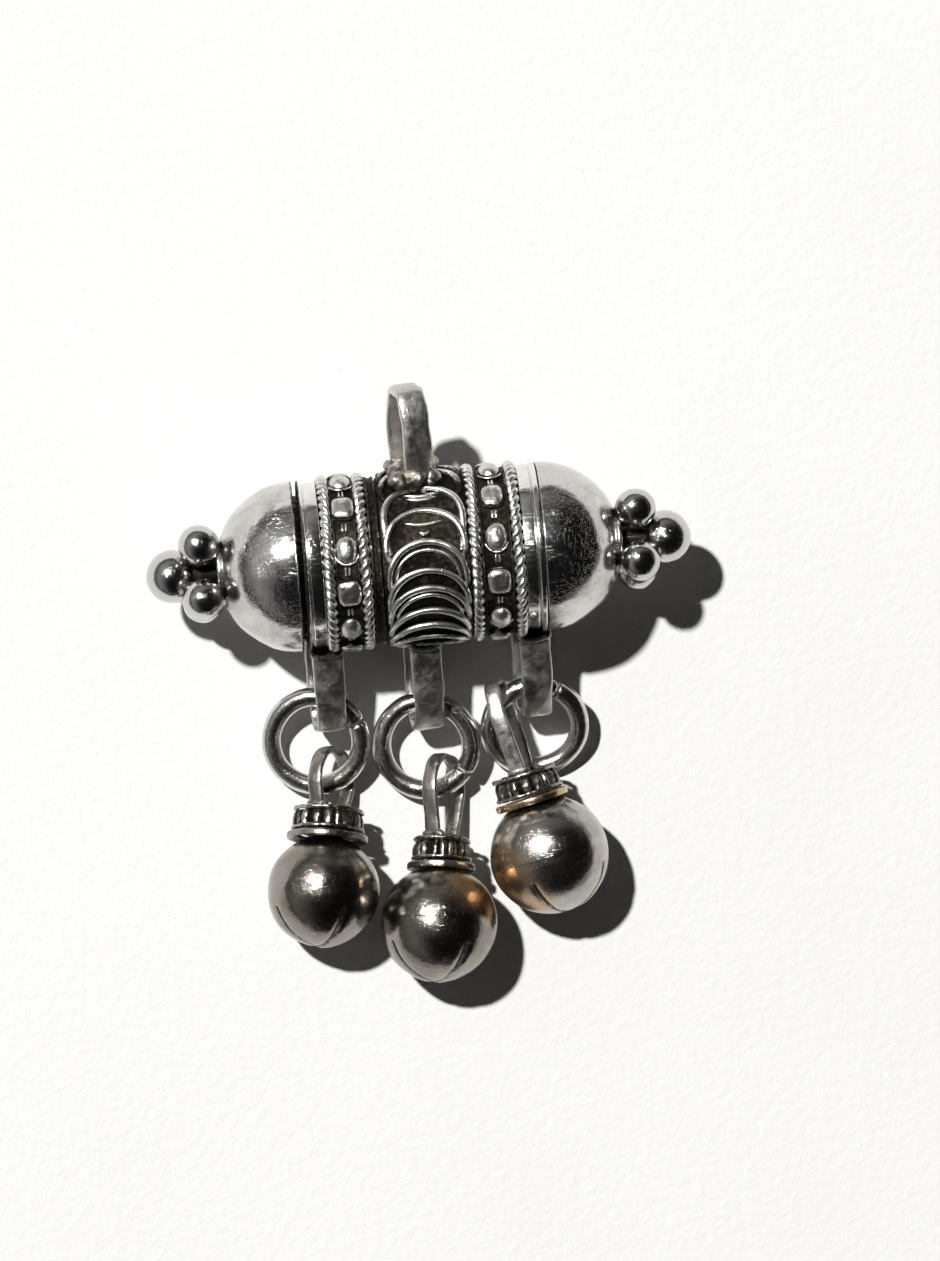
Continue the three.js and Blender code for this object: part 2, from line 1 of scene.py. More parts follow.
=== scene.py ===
"""A silver tubular amulet pendant with three round bells, dressed for rendering.

Lengths are in millimetres while a piece is made, and in metres once it is a Blender object.
The tube lies along X, the bail points to +Y and +Z is up from the paper.
"""

import json
import logging
import math
from collections.abc import Callable, Iterable, Sequence
from dataclasses import dataclass, field
from enum import Enum

import bmesh
import bpy
import numpy as np
from mathutils import Matrix, Vector, noise


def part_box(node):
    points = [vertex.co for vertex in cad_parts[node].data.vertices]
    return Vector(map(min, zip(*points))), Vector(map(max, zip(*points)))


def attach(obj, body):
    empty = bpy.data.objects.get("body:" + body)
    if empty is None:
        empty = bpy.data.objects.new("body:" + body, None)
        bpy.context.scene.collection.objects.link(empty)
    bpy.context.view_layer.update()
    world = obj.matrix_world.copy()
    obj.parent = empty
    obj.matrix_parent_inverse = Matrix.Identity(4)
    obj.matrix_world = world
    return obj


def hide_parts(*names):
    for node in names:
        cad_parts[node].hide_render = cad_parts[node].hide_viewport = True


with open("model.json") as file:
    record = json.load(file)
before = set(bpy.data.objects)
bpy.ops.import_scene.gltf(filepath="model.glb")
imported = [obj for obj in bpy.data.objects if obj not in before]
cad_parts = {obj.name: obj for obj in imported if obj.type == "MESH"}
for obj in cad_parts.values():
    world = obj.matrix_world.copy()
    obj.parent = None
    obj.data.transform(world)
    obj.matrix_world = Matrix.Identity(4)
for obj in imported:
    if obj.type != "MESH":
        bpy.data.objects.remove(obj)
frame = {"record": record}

log = logging.getLogger("pendant")

MM = 0.001
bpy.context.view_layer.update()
TUBE_ROLL = 18.0  # degrees
LEFT_DOME_X = -11.15  # from the tube's middle
RIGHT_DOME_X = 10.8
ORIGIN = (0.0, 0.0, 0.0)
Points = np.ndarray
Profile = Sequence[tuple[float, float]]


class End(Enum):
    """The two ends of the tube: the cap that pulls off, and the soldered one."""

    LEFT = -1
    RIGHT = 1

    @property
    def label(self) -> str:
        """The end's name as the frame's nodes spell it."""
        return self.name.lower()


class BeadKind(Enum):
    """What stands on a bead strip."""

    ROUND = "round"
    SQUARE = "square"


# ---------------------------------------------------------------- places


@dataclass(frozen=True)
class Place:
    """A local frame in the part: where its origin is, and its three axes as columns."""

    origin: tuple[float, float, float]
    axes: Matrix

    def out(self, points: Points) -> Points:
        """Takes local points to the part frame.

        Args:
            points: Any array whose last axis is x, y, z.

        Returns:
            The same array in the part frame.
        """
        turn = np.array(self.axes)
        return np.asarray(points, float) @ turn.T + np.array(self.origin)

    def direction(self, points: Points) -> Points:
        """Takes local directions to the part frame."""
        return self.out(points) - np.array(self.origin)

    def within(self, shift: Sequence[float], turn: Matrix) -> "Place":
        """A frame given in this one.

        Args:
            shift: The new origin, in this frame.
            turn: The new axes, in this frame.

        Returns:
            The new frame, in the part frame.
        """
        origin = self.out(np.array(shift, float))
        return Place(tuple(float(v) for v in origin), self.axes @ turn)


def turn_about(axis: str, degrees: float) -> Matrix:
    """A turn about one axis.

    Args:
        axis: "X", "Y" or "Z".
        degrees: How far, by the right-hand rule.

    Returns:
        The 3 by 3 matrix.
    """
    return Matrix.Rotation(math.radians(degrees), 3, axis)


def smoothstep(low: float, high: float, value: Points) -> Points:
    """A soft step from 0 at low to 1 at high."""
    t = np.clip((np.asarray(value, float) - low) / (high - low), 0.0, 1.0)
    return t * t * (3.0 - 2.0 * t)


def worn_outwards(
    low: float,
    high: float,
    gain: float,
    least: float = 0.0,
) -> Callable[[Points, Points, Points], Points]:
    """How exposed a turned piece is, from its radius alone.

    Args:
        low: The radius where exposure starts to rise.
        high: The radius where it stops rising.
        gain: How much it rises.
        least: What it rises from.

    Returns:
        The exposure, as a function of X, radius and angle.
    """
    return lambda x, radius, angle: smoothstep(low, high, radius) * gain + least


# ---------------------------------------------------------------- surfaces


@dataclass
class Surface:
    """The points and faces of one piece in the making, with how exposed each point is to wear, which on the
    scale wires also carries painted shade.
    """

    points: list[Points] = field(default_factory=list)
    faces: list[tuple[int, ...]] = field(default_factory=list)
    relief: list[Points] = field(default_factory=list)
    count: int = 0

    def grid(
        self,
        points: Points,
        relief: Points | float = 1.0,
        wrap_u: bool = False,
        wrap_v: bool = True,
        caps: bool = True,
    ) -> None:
        """Adds a sheet of quads.

        Args:
            points: Rows of points, as an array of nu by nv by 3.
            relief: How exposed each point is, 0 in a recess and 1 on a crest.
            wrap_u: Whether the last row joins the first.
            wrap_v: Whether the last point of a row joins its first.
            caps: Whether open first and last rows are closed with a face.
        """
        nu, nv, _ = points.shape
        base = self.count
        self.points.append(points.reshape(-1, 3))
        self.relief.append(np.broadcast_to(np.asarray(relief, float), (nu, nv)).reshape(-1))
        self.count += nu * nv
        for i in range(nu if wrap_u else nu - 1):
            for j in range(nv if wrap_v else nv - 1):
                a = base + i * nv + j
                b = base + i * nv + (j + 1) % nv
                c = base + (i + 1) % nu * nv + (j + 1) % nv
                d = base + (i + 1) % nu * nv + j
                self.faces.append((a, b, c, d))
        if caps and wrap_v and not wrap_u:
            self.faces.append(tuple(base + j for j in reversed(range(nv))))
            self.faces.append(tuple(base + (nu - 1) * nv + j for j in range(nv)))

    def revolve(
        self,
        profile: Profile,
        place: Place,
        sides: int = 128,
        relief: Callable[[Points, Points, Points], Points] | float = 1.0,
        swell: Callable[[Points, Points], Points] | None = None,
        closed: bool = True,
    ) -> None:
        """Turns a profile about the local X axis.

        Args:
            profile: Pairs of radius and X, in order round the section.
            place: The local frame.
            sides: How many steps round.
            relief: Exposure from X, radius and angle, or one number.
            swell: Added radius from X and angle, for what is not quite round.
            closed: Whether the section is a ring; if not, its ends lie on the axis.
        """
        section = np.array(profile, float)
        angles = np.linspace(0.0, 2.0 * math.pi, sides, endpoint=False)
        radius, angle = np.meshgrid(section[:, 0], angles, indexing="ij")
        along = np.repeat(section[:, 1][:, None], sides, axis=1)
        grown = radius if swell is None else radius + swell(along, angle) * (radius > 1e-6)
        points = np.stack([along, -grown * np.sin(angle), grown * np.cos(angle)], axis=-1)
        worn = relief(along, radius, angle) if callable(relief) else relief
        self.grid(place.out(points), worn, wrap_u=closed, caps=False)

    def pipe(
        self,
        path: Points,
        width: Points | float,
        height: Points | float,
        out: Points,
        closed: bool = False,
        sides: int = 10,
        square: float = 2.0,
        relief: Points | float | None = None,
    ) -> None:
        """Sweeps a round, oval or flattened section along a path.

        Args:
            path: Points on the wire's middle line, n by 3.
            width: Half the section's size across.
            height: Half the section's size along out.
            out: The direction of height at each point, n by 3.
            closed: Whether the path joins up.
            sides: How many corners the section has.
            square: 2 for an oval section, more for a boxy one.
            relief: Exposure of each point; by default the side towards out is the most exposed.
        """
        path = np.asarray(path, float)
        out = np.broadcast_to(np.asarray(out, float), path.shape)
        if closed:
            tangent = np.roll(path, -1, axis=0) - np.roll(path, 1, axis=0)
        else:
            tangent = np.gradient(path, axis=0)
        tangent = tangent / np.linalg.norm(tangent, axis=1)[:, None]
        across = np.cross(tangent, out)
        across = across / np.linalg.norm(across, axis=1)[:, None]
        rise = np.cross(across, tangent)
        angle = np.linspace(0.0, 2.0 * math.pi, sides, endpoint=False)
        power = 2.0 / square
        c = np.sign(np.cos(angle)) * np.abs(np.cos(angle)) ** power
        s = np.sign(np.sin(angle)) * np.abs(np.sin(angle)) ** power
        w = np.broadcast_to(np.asarray(width, float), (len(path),))[:, None, None]
        h = np.broadcast_to(np.asarray(height, float), (len(path),))[:, None, None]
        ring = across[:, None, :] * c[None, :, None] * w + rise[:, None, :] * s[None, :, None] * h
        worn = 0.55 + 0.45 * s[None, :] if relief is None else relief
        worn = np.broadcast_to(worn, (len(path), sides))
        self.grid(path[:, None, :] + ring, worn, wrap_u=closed)

    def blob(
        self,
        centre: Sequence[float],
        radii: Sequence[float],
        place: Place,
        sides: int = 24,
        square: float = 2.0,
        relief: Callable[[Points], Points] | float = 1.0,
        floor: float = -1.0,
    ) -> None:
        """Adds a ball, an egg or a cushion.

        Args:
            centre: Its middle, in the local frame.
            radii: Half its size along each local axis.
            place: The local frame.
            sides: Steps round it; half as many from pole to pole.
            square: 2 for an egg, more for a cushion.
            relief: Exposure from the height over the middle, -1 to 1, or one number.
            floor: The lowest height that is kept, -1 for the whole ball.
        """
        lowest = math.asin(max(-1.0, floor))
        lat = np.linspace(lowest, math.pi / 2, sides // 2 + 1)
        lon = np.linspace(0.0, 2.0 * math.pi, sides, endpoint=False)
        lat, lon = np.meshgrid(lat, lon, indexing="ij")
        power = 2.0 / square

        def bulge(value: Points) -> Points:
            """The sine or cosine of a squarer ball."""
            return np.sign(value) * np.abs(value) ** power

        around = bulge(np.cos(lat))
        flat = [around * bulge(np.cos(lon)), around * bulge(np.sin(lon))]
        unit = np.stack([*flat, bulge(np.sin(lat))], axis=-1)
        points = unit * np.array(radii) + np.array(centre)
        worn = relief(unit[..., 2]) if callable(relief) else relief
        self.grid(place.out(points), worn)

    def build(self, name: str, smooth: float = 40.0) -> bpy.types.Object:
        """Makes the Blender object.

        Args:
            name: The piece's name.
            smooth: Edges sharper than this many degrees stay sharp.

        Returns:
            The object, with its exposure in the point attribute "relief".
        """
        points = np.concatenate(self.points) * MM
        mesh = bpy.data.meshes.new(name)
        mesh.from_pydata(points.tolist(), [], self.faces)
        layer = mesh.attributes.new("relief", "FLOAT", "POINT")
        layer.data.foreach_set("value", np.concatenate(self.relief).astype(np.float32))
        tidy = bmesh.new()
        tidy.from_mesh(mesh)
        bmesh.ops.remove_doubles(tidy, verts=tidy.verts, dist=1e-7)
        bmesh.ops.dissolve_degenerate(tidy, edges=tidy.edges, dist=1e-8)
        bmesh.ops.recalc_face_normals(tidy, faces=tidy.faces)
        tidy.to_mesh(mesh)
        tidy.free()
        mesh.shade_smooth()
        mesh.set_sharp_from_angle(angle=math.radians(smooth))
        made = bpy.data.objects.new(name, mesh)
        bpy.context.scene.collection.objects.link(made)
        return made


def hammer(piece: bpy.types.Object, grain: float, depth: float, seed: int) -> None:
    """Moves a piece's points along their normals, as hand work leaves them.

    Args:
        piece: The object.
        grain: The size of the bumps, in mm.
        depth: How high the bumps are, in mm.
        seed: Which part of the noise is used.
    """
    shift = Vector((seed * 7.3, seed * 3.1, seed * 5.7))
    for vertex, normal in zip(piece.data.vertices, [n.vector.copy() for n in piece.data.vertex_normals]):
        value = noise.fractal(vertex.co / (grain * MM) + shift, 1.0, 2.0, 3)
        vertex.co += normal * (value * depth * MM)


def trim(piece: bpy.types.Object, cutters: Iterable[bpy.types.Object]) -> None:
    """Cuts other objects out of a piece, and removes them.

    Args:
        piece: What is cut.
        cutters: Closed meshes.
    """
    for cutter in cutters:
        saw = piece.modifiers.new("cut", "BOOLEAN")
        saw.operation = "DIFFERENCE"
        saw.solver = "EXACT"
        saw.object = cutter
        graph = bpy.context.evaluated_depsgraph_get()
        shape = bpy.data.meshes.new_from_object(piece.evaluated_get(graph))
        piece.modifiers.clear()
        piece.data = shape
        bpy.data.objects.remove(cutter)
    piece.data.shade_smooth()
    piece.data.set_sharp_from_angle(angle=math.radians(35.0))


# ---------------------------------------------------------------- shader maths


class Value:
    """A shader socket that can be used in an expression; each operator adds its Math node."""

    def __init__(self, shader: "Shader", socket: bpy.types.NodeSocket) -> None:
        """Wraps a socket of a shader's tree."""
        self.shader = shader
        self.socket = socket

    def _with(self, operation: str, first: object, second: object) -> "Value":
        """Adds a Math node.

        Args:
            operation: The node's operation.
            first: Its first value.
            second: Its second value.

        Returns:
            The node's result.
        """
        return self.shader.node("ShaderNodeMath", {"operation": operation}, {0: first, 1: second})

    def __add__(self, other: object) -> "Value":
        """self + other."""
        return self._with("ADD", self, other)

    def __radd__(self, other: object) -> "Value":
        """other + self."""
        return self._with("ADD", other, self)

    def __sub__(self, other: object) -> "Value":
        """self - other."""
        return self._with("SUBTRACT", self, other)

    def __rsub__(self, other: object) -> "Value":
        """other - self."""
        return self._with("SUBTRACT", other, self)

    def __mul__(self, other: object) -> "Value":
        """self * other."""
        return self._with("MULTIPLY", self, other)

    def __rmul__(self, other: object) -> "Value":
        """other * self."""
        return self._with("MULTIPLY", other, self)

    def __pow__(self, other: object) -> "Value":
        """self to the power of other."""
        return self._with("POWER", self, other)

    def step(self, low: float, high: float) -> "Value":
        """A soft step of this value, 0 at low and 1 at high."""
        settings = {"interpolation_type": "SMOOTHSTEP"}
        return self.shader.node("ShaderNodeMapRange", settings, {0: self, 1: low, 2: high})


class Shader:
    """A material in the making."""

    def __init__(self, name: str) -> None:
        """Starts a material with a Principled surface."""
        self.material = bpy.data.materials.new(name)
        self.material.use_nodes = True
        self.tree = self.material.node_tree
        self.surface = self.tree.nodes["Principled BSDF"]
        where = self.tree.nodes.new("ShaderNodeTexCoord")
        scale = {"operation": "MULTIPLY"}
        metres = Value(self, where.outputs["Object"])
        self.place = self.node("ShaderNodeVectorMath", scale, {0: metres, 1: (1 / MM, 1 / MM, 1 / MM)})

    def node(
        self,
        kind: str,
        settings: dict[str, object],
        inputs: dict[object, object],
        output: object = 0,
    ) -> Value:
        """Adds a node.

        Args:
            kind: The node's type.
            settings: Its properties, set first.
            inputs: Values or links for its sockets, by name or number.
            output: The result's name or number.

        Returns:
            The result.
        """
        made = self.tree.nodes.new(kind)
        for key, value in settings.items():
            setattr(made, key, value)
        for key, value in inputs.items():
            if isinstance(value, Value):
                self.tree.links.new(value.socket, made.inputs[key])
            else:
                made.inputs[key].default_value = value
        return Value(self, made.outputs[output])

    def relief(self) -> Value:
        """How exposed the surface is, from the mesh; on the scale wires it also carries painted shade."""
        return self.node("ShaderNodeAttribute", {"attribute_name": "relief"}, {}, "Fac")

    def warmth(self) -> Value:
        """How brown the surface has gone, from the mesh."""
        return self.node("ShaderNodeAttribute", {"attribute_name": "warmth"}, {}, "Fac")

    def edges(self) -> Value:
        """Convexity of the mesh: 0.5 on a flat face, more on an edge."""
        return self.node("ShaderNodeNewGeometry", {}, {}, "Pointiness")

    def stretched(self, scale: Sequence[float]) -> Value:
        """The place in mm, stretched along the axes."""
        settings = {"operation": "MULTIPLY"}
        return self.node("ShaderNodeVectorMath", settings, {0: self.place, 1: tuple(scale)})

    def grain(
        self,
        per_mm: float,
        detail: float = 3.0,
        rough: float = 0.55,
        where: Value | None = None,
        twist: float = 0.0,
    ) -> Value:
        """Noise from 0 to 1.

        Args:
            per_mm: Its frequency.
            detail: How many octaves.
            rough: How strong the fine octaves are.
            where: The coordinates; the place in mm by default.
            twist: How much it is distorted.

        Returns:
            The noise.
        """
        inputs = {"Vector": where or self.place, "Scale": per_mm, "Detail": detail}
        inputs |= {"Roughness": rough, "Distortion": twist}
        return self.node("ShaderNodeTexNoise", {}, inputs, "Fac")

    def mix(self, factor: Value, first: object, second: object) -> Value:
        """A colour between two.

        Args:
            factor: 0 gives the first and 1 the second.
            first: A colour, or a Value that carries one.
            second: The other.

        Returns:
            The mixed colour.
        """
        inputs: dict[object, object] = {0: factor}
        for key, colour in ((6, first), (7, second)):
            inputs[key] = colour if isinstance(colour, Value) else (*colour, 1.0)
        return self.node("ShaderNodeMix", {"data_type": "RGBA"}, inputs, 2)

    def bumped(self, layers: Sequence[tuple[Value, float]]) -> Value:
        """A normal with height layers on it.

        Args:
            layers: Pairs of a height from 0 to 1 and how high 1 is, in mm.

        Returns:
            The normal.
        """
        normal: Value | None = None
        for height, depth in layers:
            inputs: dict[object, object] = {"Strength": 1.0, "Distance": depth * MM, "Height": height}
            if normal is not None:
                inputs["Normal"] = normal
            normal = self.node("ShaderNodeBump", {}, inputs)
        return normal

    def set(self, **sockets: object) -> None:
        """Sets the surface's sockets; underscores in a name stand for spaces."""
        for key, value in sockets.items():
            socket = self.surface.inputs[key.replace("_", " ")]
            if isinstance(value, Value):
                self.tree.links.new(value.socket, socket)
            else:
                socket.default_value = value


# ---------------------------------------------------------------- finishes

Colour = tuple[float, float, float]


@dataclass(frozen=True)
class Silver:
    """A silver finish, from polished to blackened, with its tarnish and its scratches."""

    name: str
    bright: Colour = (0.84, 0.83, 0.80)
    dull: Colour = (0.55, 0.535, 0.51)
    oxide: Colour = (0.012, 0.010, 0.009)
    crust: Colour = (0.060, 0.052, 0.038)
    warm: Colour = (0.46, 0.31, 0.18)
    polish: float = 0.15
    satin: float = 0.0
    patina: float = 0.1
    black: float = 0.5
    brown: float = 0.0
    scratch: float = 0.004
    dents: float = 0.03

    def make(self) -> bpy.types.Material:
        """The finish as a material.

        Returns:
            The material.
        """
        s = Shader(self.name)
        relief = s.relief()
        edge = s.edges().step(0.50, 0.56)
        cloud = s.grain(0.32, 3.0, 0.5, twist=0.4)
        fleck = s.grain(2.4, 4.0, 0.6)
        fine = s.grain(13.0, 3.0, 0.6)
        # Hollows turn to oxide; on the scale wires the relief also carries painted shade on the lower rows.
        hollow = 1.0 - relief + (fleck - 0.5) * 0.6 + (cloud - 0.5) * 0.25
        blackened = (hollow - edge * 0.25 + (self.black - 0.5)).step(0.36, 0.74)
        dulled = (cloud * 0.7 + fleck * 0.35 + self.patina - edge * 0.2).step(0.46, 0.98)
        smear = (s.grain(0.5, 4.0, 0.6, twist=0.8) - 0.5) * 0.9
        browned = (s.warmth() + smear + self.brown).step(0.22, 0.75)
        metal = s.mix(dulled, self.bright, self.dull)
        metal = s.mix(browned * 0.8, metal, self.warm)
        crust = s.mix((fleck * 0.6 + cloud * 0.5).step(0.50, 0.72), self.oxide, self.crust)
        colour = s.mix(blackened, metal, crust)
        hairs = s.grain(1.0, 2.0, 0.5, where=s.stretched((0.5, 11.0, 9.0)), twist=0.3)
        cross = s.grain(1.0, 2.0, 0.5, where=s.stretched((12.0, 0.8, 6.0)), twist=0.3)
        lines = (hairs.step(0.61, 0.65) + cross.step(0.63, 0.66)) * 0.5
        rough = self.polish + dulled * 0.10 + browned * 0.10 + lines * 0.08 + (fine - 0.5) * 0.06
        rough = rough + s.grain(0.8, 3.0, 0.6, twist=0.5).step(0.20, 0.80) * self.satin
        rough = rough + blackened * (0.55 - self.polish)
        waves = ((cloud, self.dents), (fleck, self.dents * 0.30))
        normal = s.bumped((*waves, (blackened * fine, 0.03), (lines, self.scratch)))
        s.set(Base_Color=colour, Metallic=1.0, Roughness=rough, Normal=normal)
        return s.material


@dataclass(frozen=True)
class OldPaper:
    """Uncoated paper that has been rolled up for years."""

    name: str
    light: Colour = (0.80, 0.74, 0.60)
    stained: Colour = (0.55, 0.44, 0.29)

    def make(self) -> bpy.types.Material:
        """The finish as a material.

        Returns:
            The material.
        """
        s = Shader(self.name)
        stain = s.grain(0.25, 5.0, 0.65, twist=0.8)
        fibre = s.grain(6.0, 4.0, 0.7)
        colour = s.mix(stain.step(0.45, 0.85) * 0.7 + fibre * 0.15, self.light, self.stained)
        normal = s.bumped(((fibre, 0.02), (stain, 0.05)))
        s.set(Base_Color=colour, Roughness=0.85 + fibre * 0.1, Normal=normal)
        return s.material


@dataclass(frozen=True)
class DrawingPaper:
    """The sheet that the pendant lies on."""

    name: str
    white: Colour = (0.66, 0.66, 0.66)
    shade: Colour = (0.635, 0.635, 0.63)

    def make(self) -> bpy.types.Material:
        """The finish as a material.

        Returns:
            The material.
        """
        s = Shader(self.name)
        tooth = s.grain(1.1, 5.0, 0.6)
        cloud = s.grain(0.04, 3.0, 0.5)
        colour = s.mix(cloud.step(0.3, 0.8) * 0.6 + tooth * 0.2, self.white, self.shade)
        s.set(Base_Color=colour, Roughness=0.9, Normal=s.bumped(((tooth, 0.09),)))
        return s.material


POLISHED = Silver("polished_silver", polish=0.14, patina=0.10, black=0.42)
WORN = Silver(
    "worn_silver", bright=(0.66, 0.65, 0.62),
    polish=0.24, patina=0.22, black=0.50, dents=0.05,
)
ORNAMENT = Silver(
    "ornament_silver", bright=(0.76, 0.75, 0.72), dull=(0.40, 0.385, 0.36),
    polish=0.25, satin=0.10, patina=0.16, black=0.66, dents=0.04,
)
BLACKENED = Silver(
    "blackened_silver", bright=(0.42, 0.40, 0.37), dull=(0.20, 0.19, 0.18),
    polish=0.34, patina=0.3, black=0.85, dents=0.05,
)
BELL = Silver(
    "bell_silver", bright=(0.48, 0.46, 0.43), dull=(0.34, 0.32, 0.295),
    polish=0.16, patina=0.16, black=0.38, dents=0.06,
)
DARK_BELL = Silver(
    "dark_bell_silver", bright=(0.33, 0.305, 0.275), dull=(0.21, 0.19, 0.165),
    polish=0.15, patina=0.18, black=0.40, dents=0.07,
)
BROWNED = Silver(
    "browned_silver", bright=(0.60, 0.47, 0.32), dull=(0.40, 0.30, 0.19),
    polish=0.20, patina=0.2, black=0.45, brown=0.1, dents=0.04,
)
STRAP = Silver(
    "strap_silver", bright=(0.66, 0.65, 0.62), dull=(0.34, 0.32, 0.30),
    polish=0.22, satin=0.24, patina=0.10, black=0.46, brown=-0.1, dents=0.09,
)
SOLDER = Silver(
    "solder_silver", bright=(0.42, 0.39, 0.35), dull=(0.24, 0.215, 0.19),
    polish=0.34, patina=0.3, black=0.62, brown=0.05, dents=0.06,
)
DOME = Silver(
    "dome_silver", bright=(0.66, 0.65, 0.63), dull=(0.34, 0.33, 0.31),
    polish=0.085, satin=0.10, patina=0.10, black=0.36, scratch=0.008, dents=0.05,
)
GRANULE = Silver(
    "granule_silver", bright=(0.60, 0.59, 0.57),
    polish=0.13, patina=0.08, black=0.38, dents=0.03,
)
RING = Silver(
    "ring_silver", bright=(0.66, 0.64, 0.61),
    polish=0.19, patina=0.14, black=0.40, dents=0.04,
)
HANGER = Silver(
    "hanger_silver", bright=(0.40, 0.38, 0.35), dull=(0.20, 0.185, 0.17),
    polish=0.20, satin=0.14, patina=0.2, black=0.50, dents=0.07,
)
CROWN = Silver(
    "crown_silver", bright=(0.40, 0.38, 0.35), dull=(0.18, 0.165, 0.15),
    polish=0.24, patina=0.24, black=0.74, dents=0.05,
)
SCROLL_PAPER = OldPaper("old_paper")
SHEET = DrawingPaper("drawing_paper")
Finish = Silver | OldPaper | DrawingPaper


@dataclass
class Wardrobe:
    """Makes each finish once, and puts pieces together with what they ride on."""

    made: dict[str, bpy.types.Material] = field(default_factory=dict)

    def dress(self, piece: bpy.types.Object, finish: Finish) -> None:
        """Gives a piece a finish.

        Args:
            piece: The object.
            finish: What it is made of.
        """
        if finish.name not in self.made:
            self.made[finish.name] = finish.make()
        piece.data.materials.clear()
        piece.data.materials.append(self.made[finish.name])

    def fit(self, piece: bpy.types.Object, finish: Finish, body: str, node: str, slot: str) -> None:
        """Dresses a piece, rides it on its body and lets it stand for its node.

        Args:
            piece: The object.
            finish: What it is made of.
            body: The body that it moves with.
            node: The frame's node that it replaces.
            slot: The record's material slot; not used.
        """
        self.dress(piece, finish)
        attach(piece, body)
        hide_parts(node)
        log.info("%s: %d faces on %s", piece.name, len(piece.data.polygons), body)


# ---------------------------------------------------------------- the frame's places


@dataclass(frozen=True)
class Hinge:
    """Where a joint of the frame turns."""

    at: Points
    axis: Points


def hinge(name: str) -> Hinge:
    """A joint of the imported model.

    Args:
        name: The joint's name.

    Returns:
        Its place in mm and its direction.
    """
    for joint in frame["record"]["behaviour"]["joints"]:
        if joint["name"] == name:
            return Hinge(np.array(joint["pos_m"]) / MM, np.array(joint["axis"], float))
    raise KeyError(name)


def tube_place(roll: float) -> Place:
    """The tube's frame: X along it, and angle 0 where it faces up before its roll.

    Args:
        roll: How far it has rolled, in degrees.

    Returns:
        The frame.
    """
    low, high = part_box("tube")
    middle = (low + high) / 2 / MM
    return Place(tuple(middle), turn_about("X", roll))


def round_tube(x: Points, radius: Points, angle: Points) -> Points:
    """Points in the tube's frame from X, radius and angle in radians, positive towards the bells."""
    x, radius, angle = np.broadcast_arrays(x, radius, angle)
    return np.stack([x, -radius * np.sin(angle), radius * np.cos(angle)], axis=-1)


def outward(place: Place, angle: Points) -> Points:
    """The way out of a tube at each angle round it, in the part frame."""
    return place.direction(round_tube(0.0 * angle, 1.0, angle))


def tooled(profile: Profile, soften: float, steps: int = 3) -> list[tuple[float, float]]:
    """A closed section with its corners rounded.

    Args:
        profile: The section's corners.
        soften: How far a corner is cut back.
        steps: Points in a rounded corner.

    Returns:
        The rounded section.
    """
    corners = [np.array(p, float) for p in profile]
    made: list[tuple[float, float]] = []
    for i, corner in enumerate(corners):
        before, after = corners[i - 1], corners[(i + 1) % len(corners)]
        to_before, to_after = before - corner, after - corner
        cut = min(soften, 0.45 * np.linalg.norm(to_before), 0.45 * np.linalg.norm(to_after))
        start = corner + to_before / np.linalg.norm(to_before) * cut
        end = corner + to_after / np.linalg.norm(to_after) * cut
        for k in range(steps + 1):
            t = k / steps
            point = start * (1 - t) ** 2 + corner * 2 * t * (1 - t) + end * t * t
            made.append((float(point[0]), float(point[1])))
    return made


# ---------------------------------------------------------------- the barrel


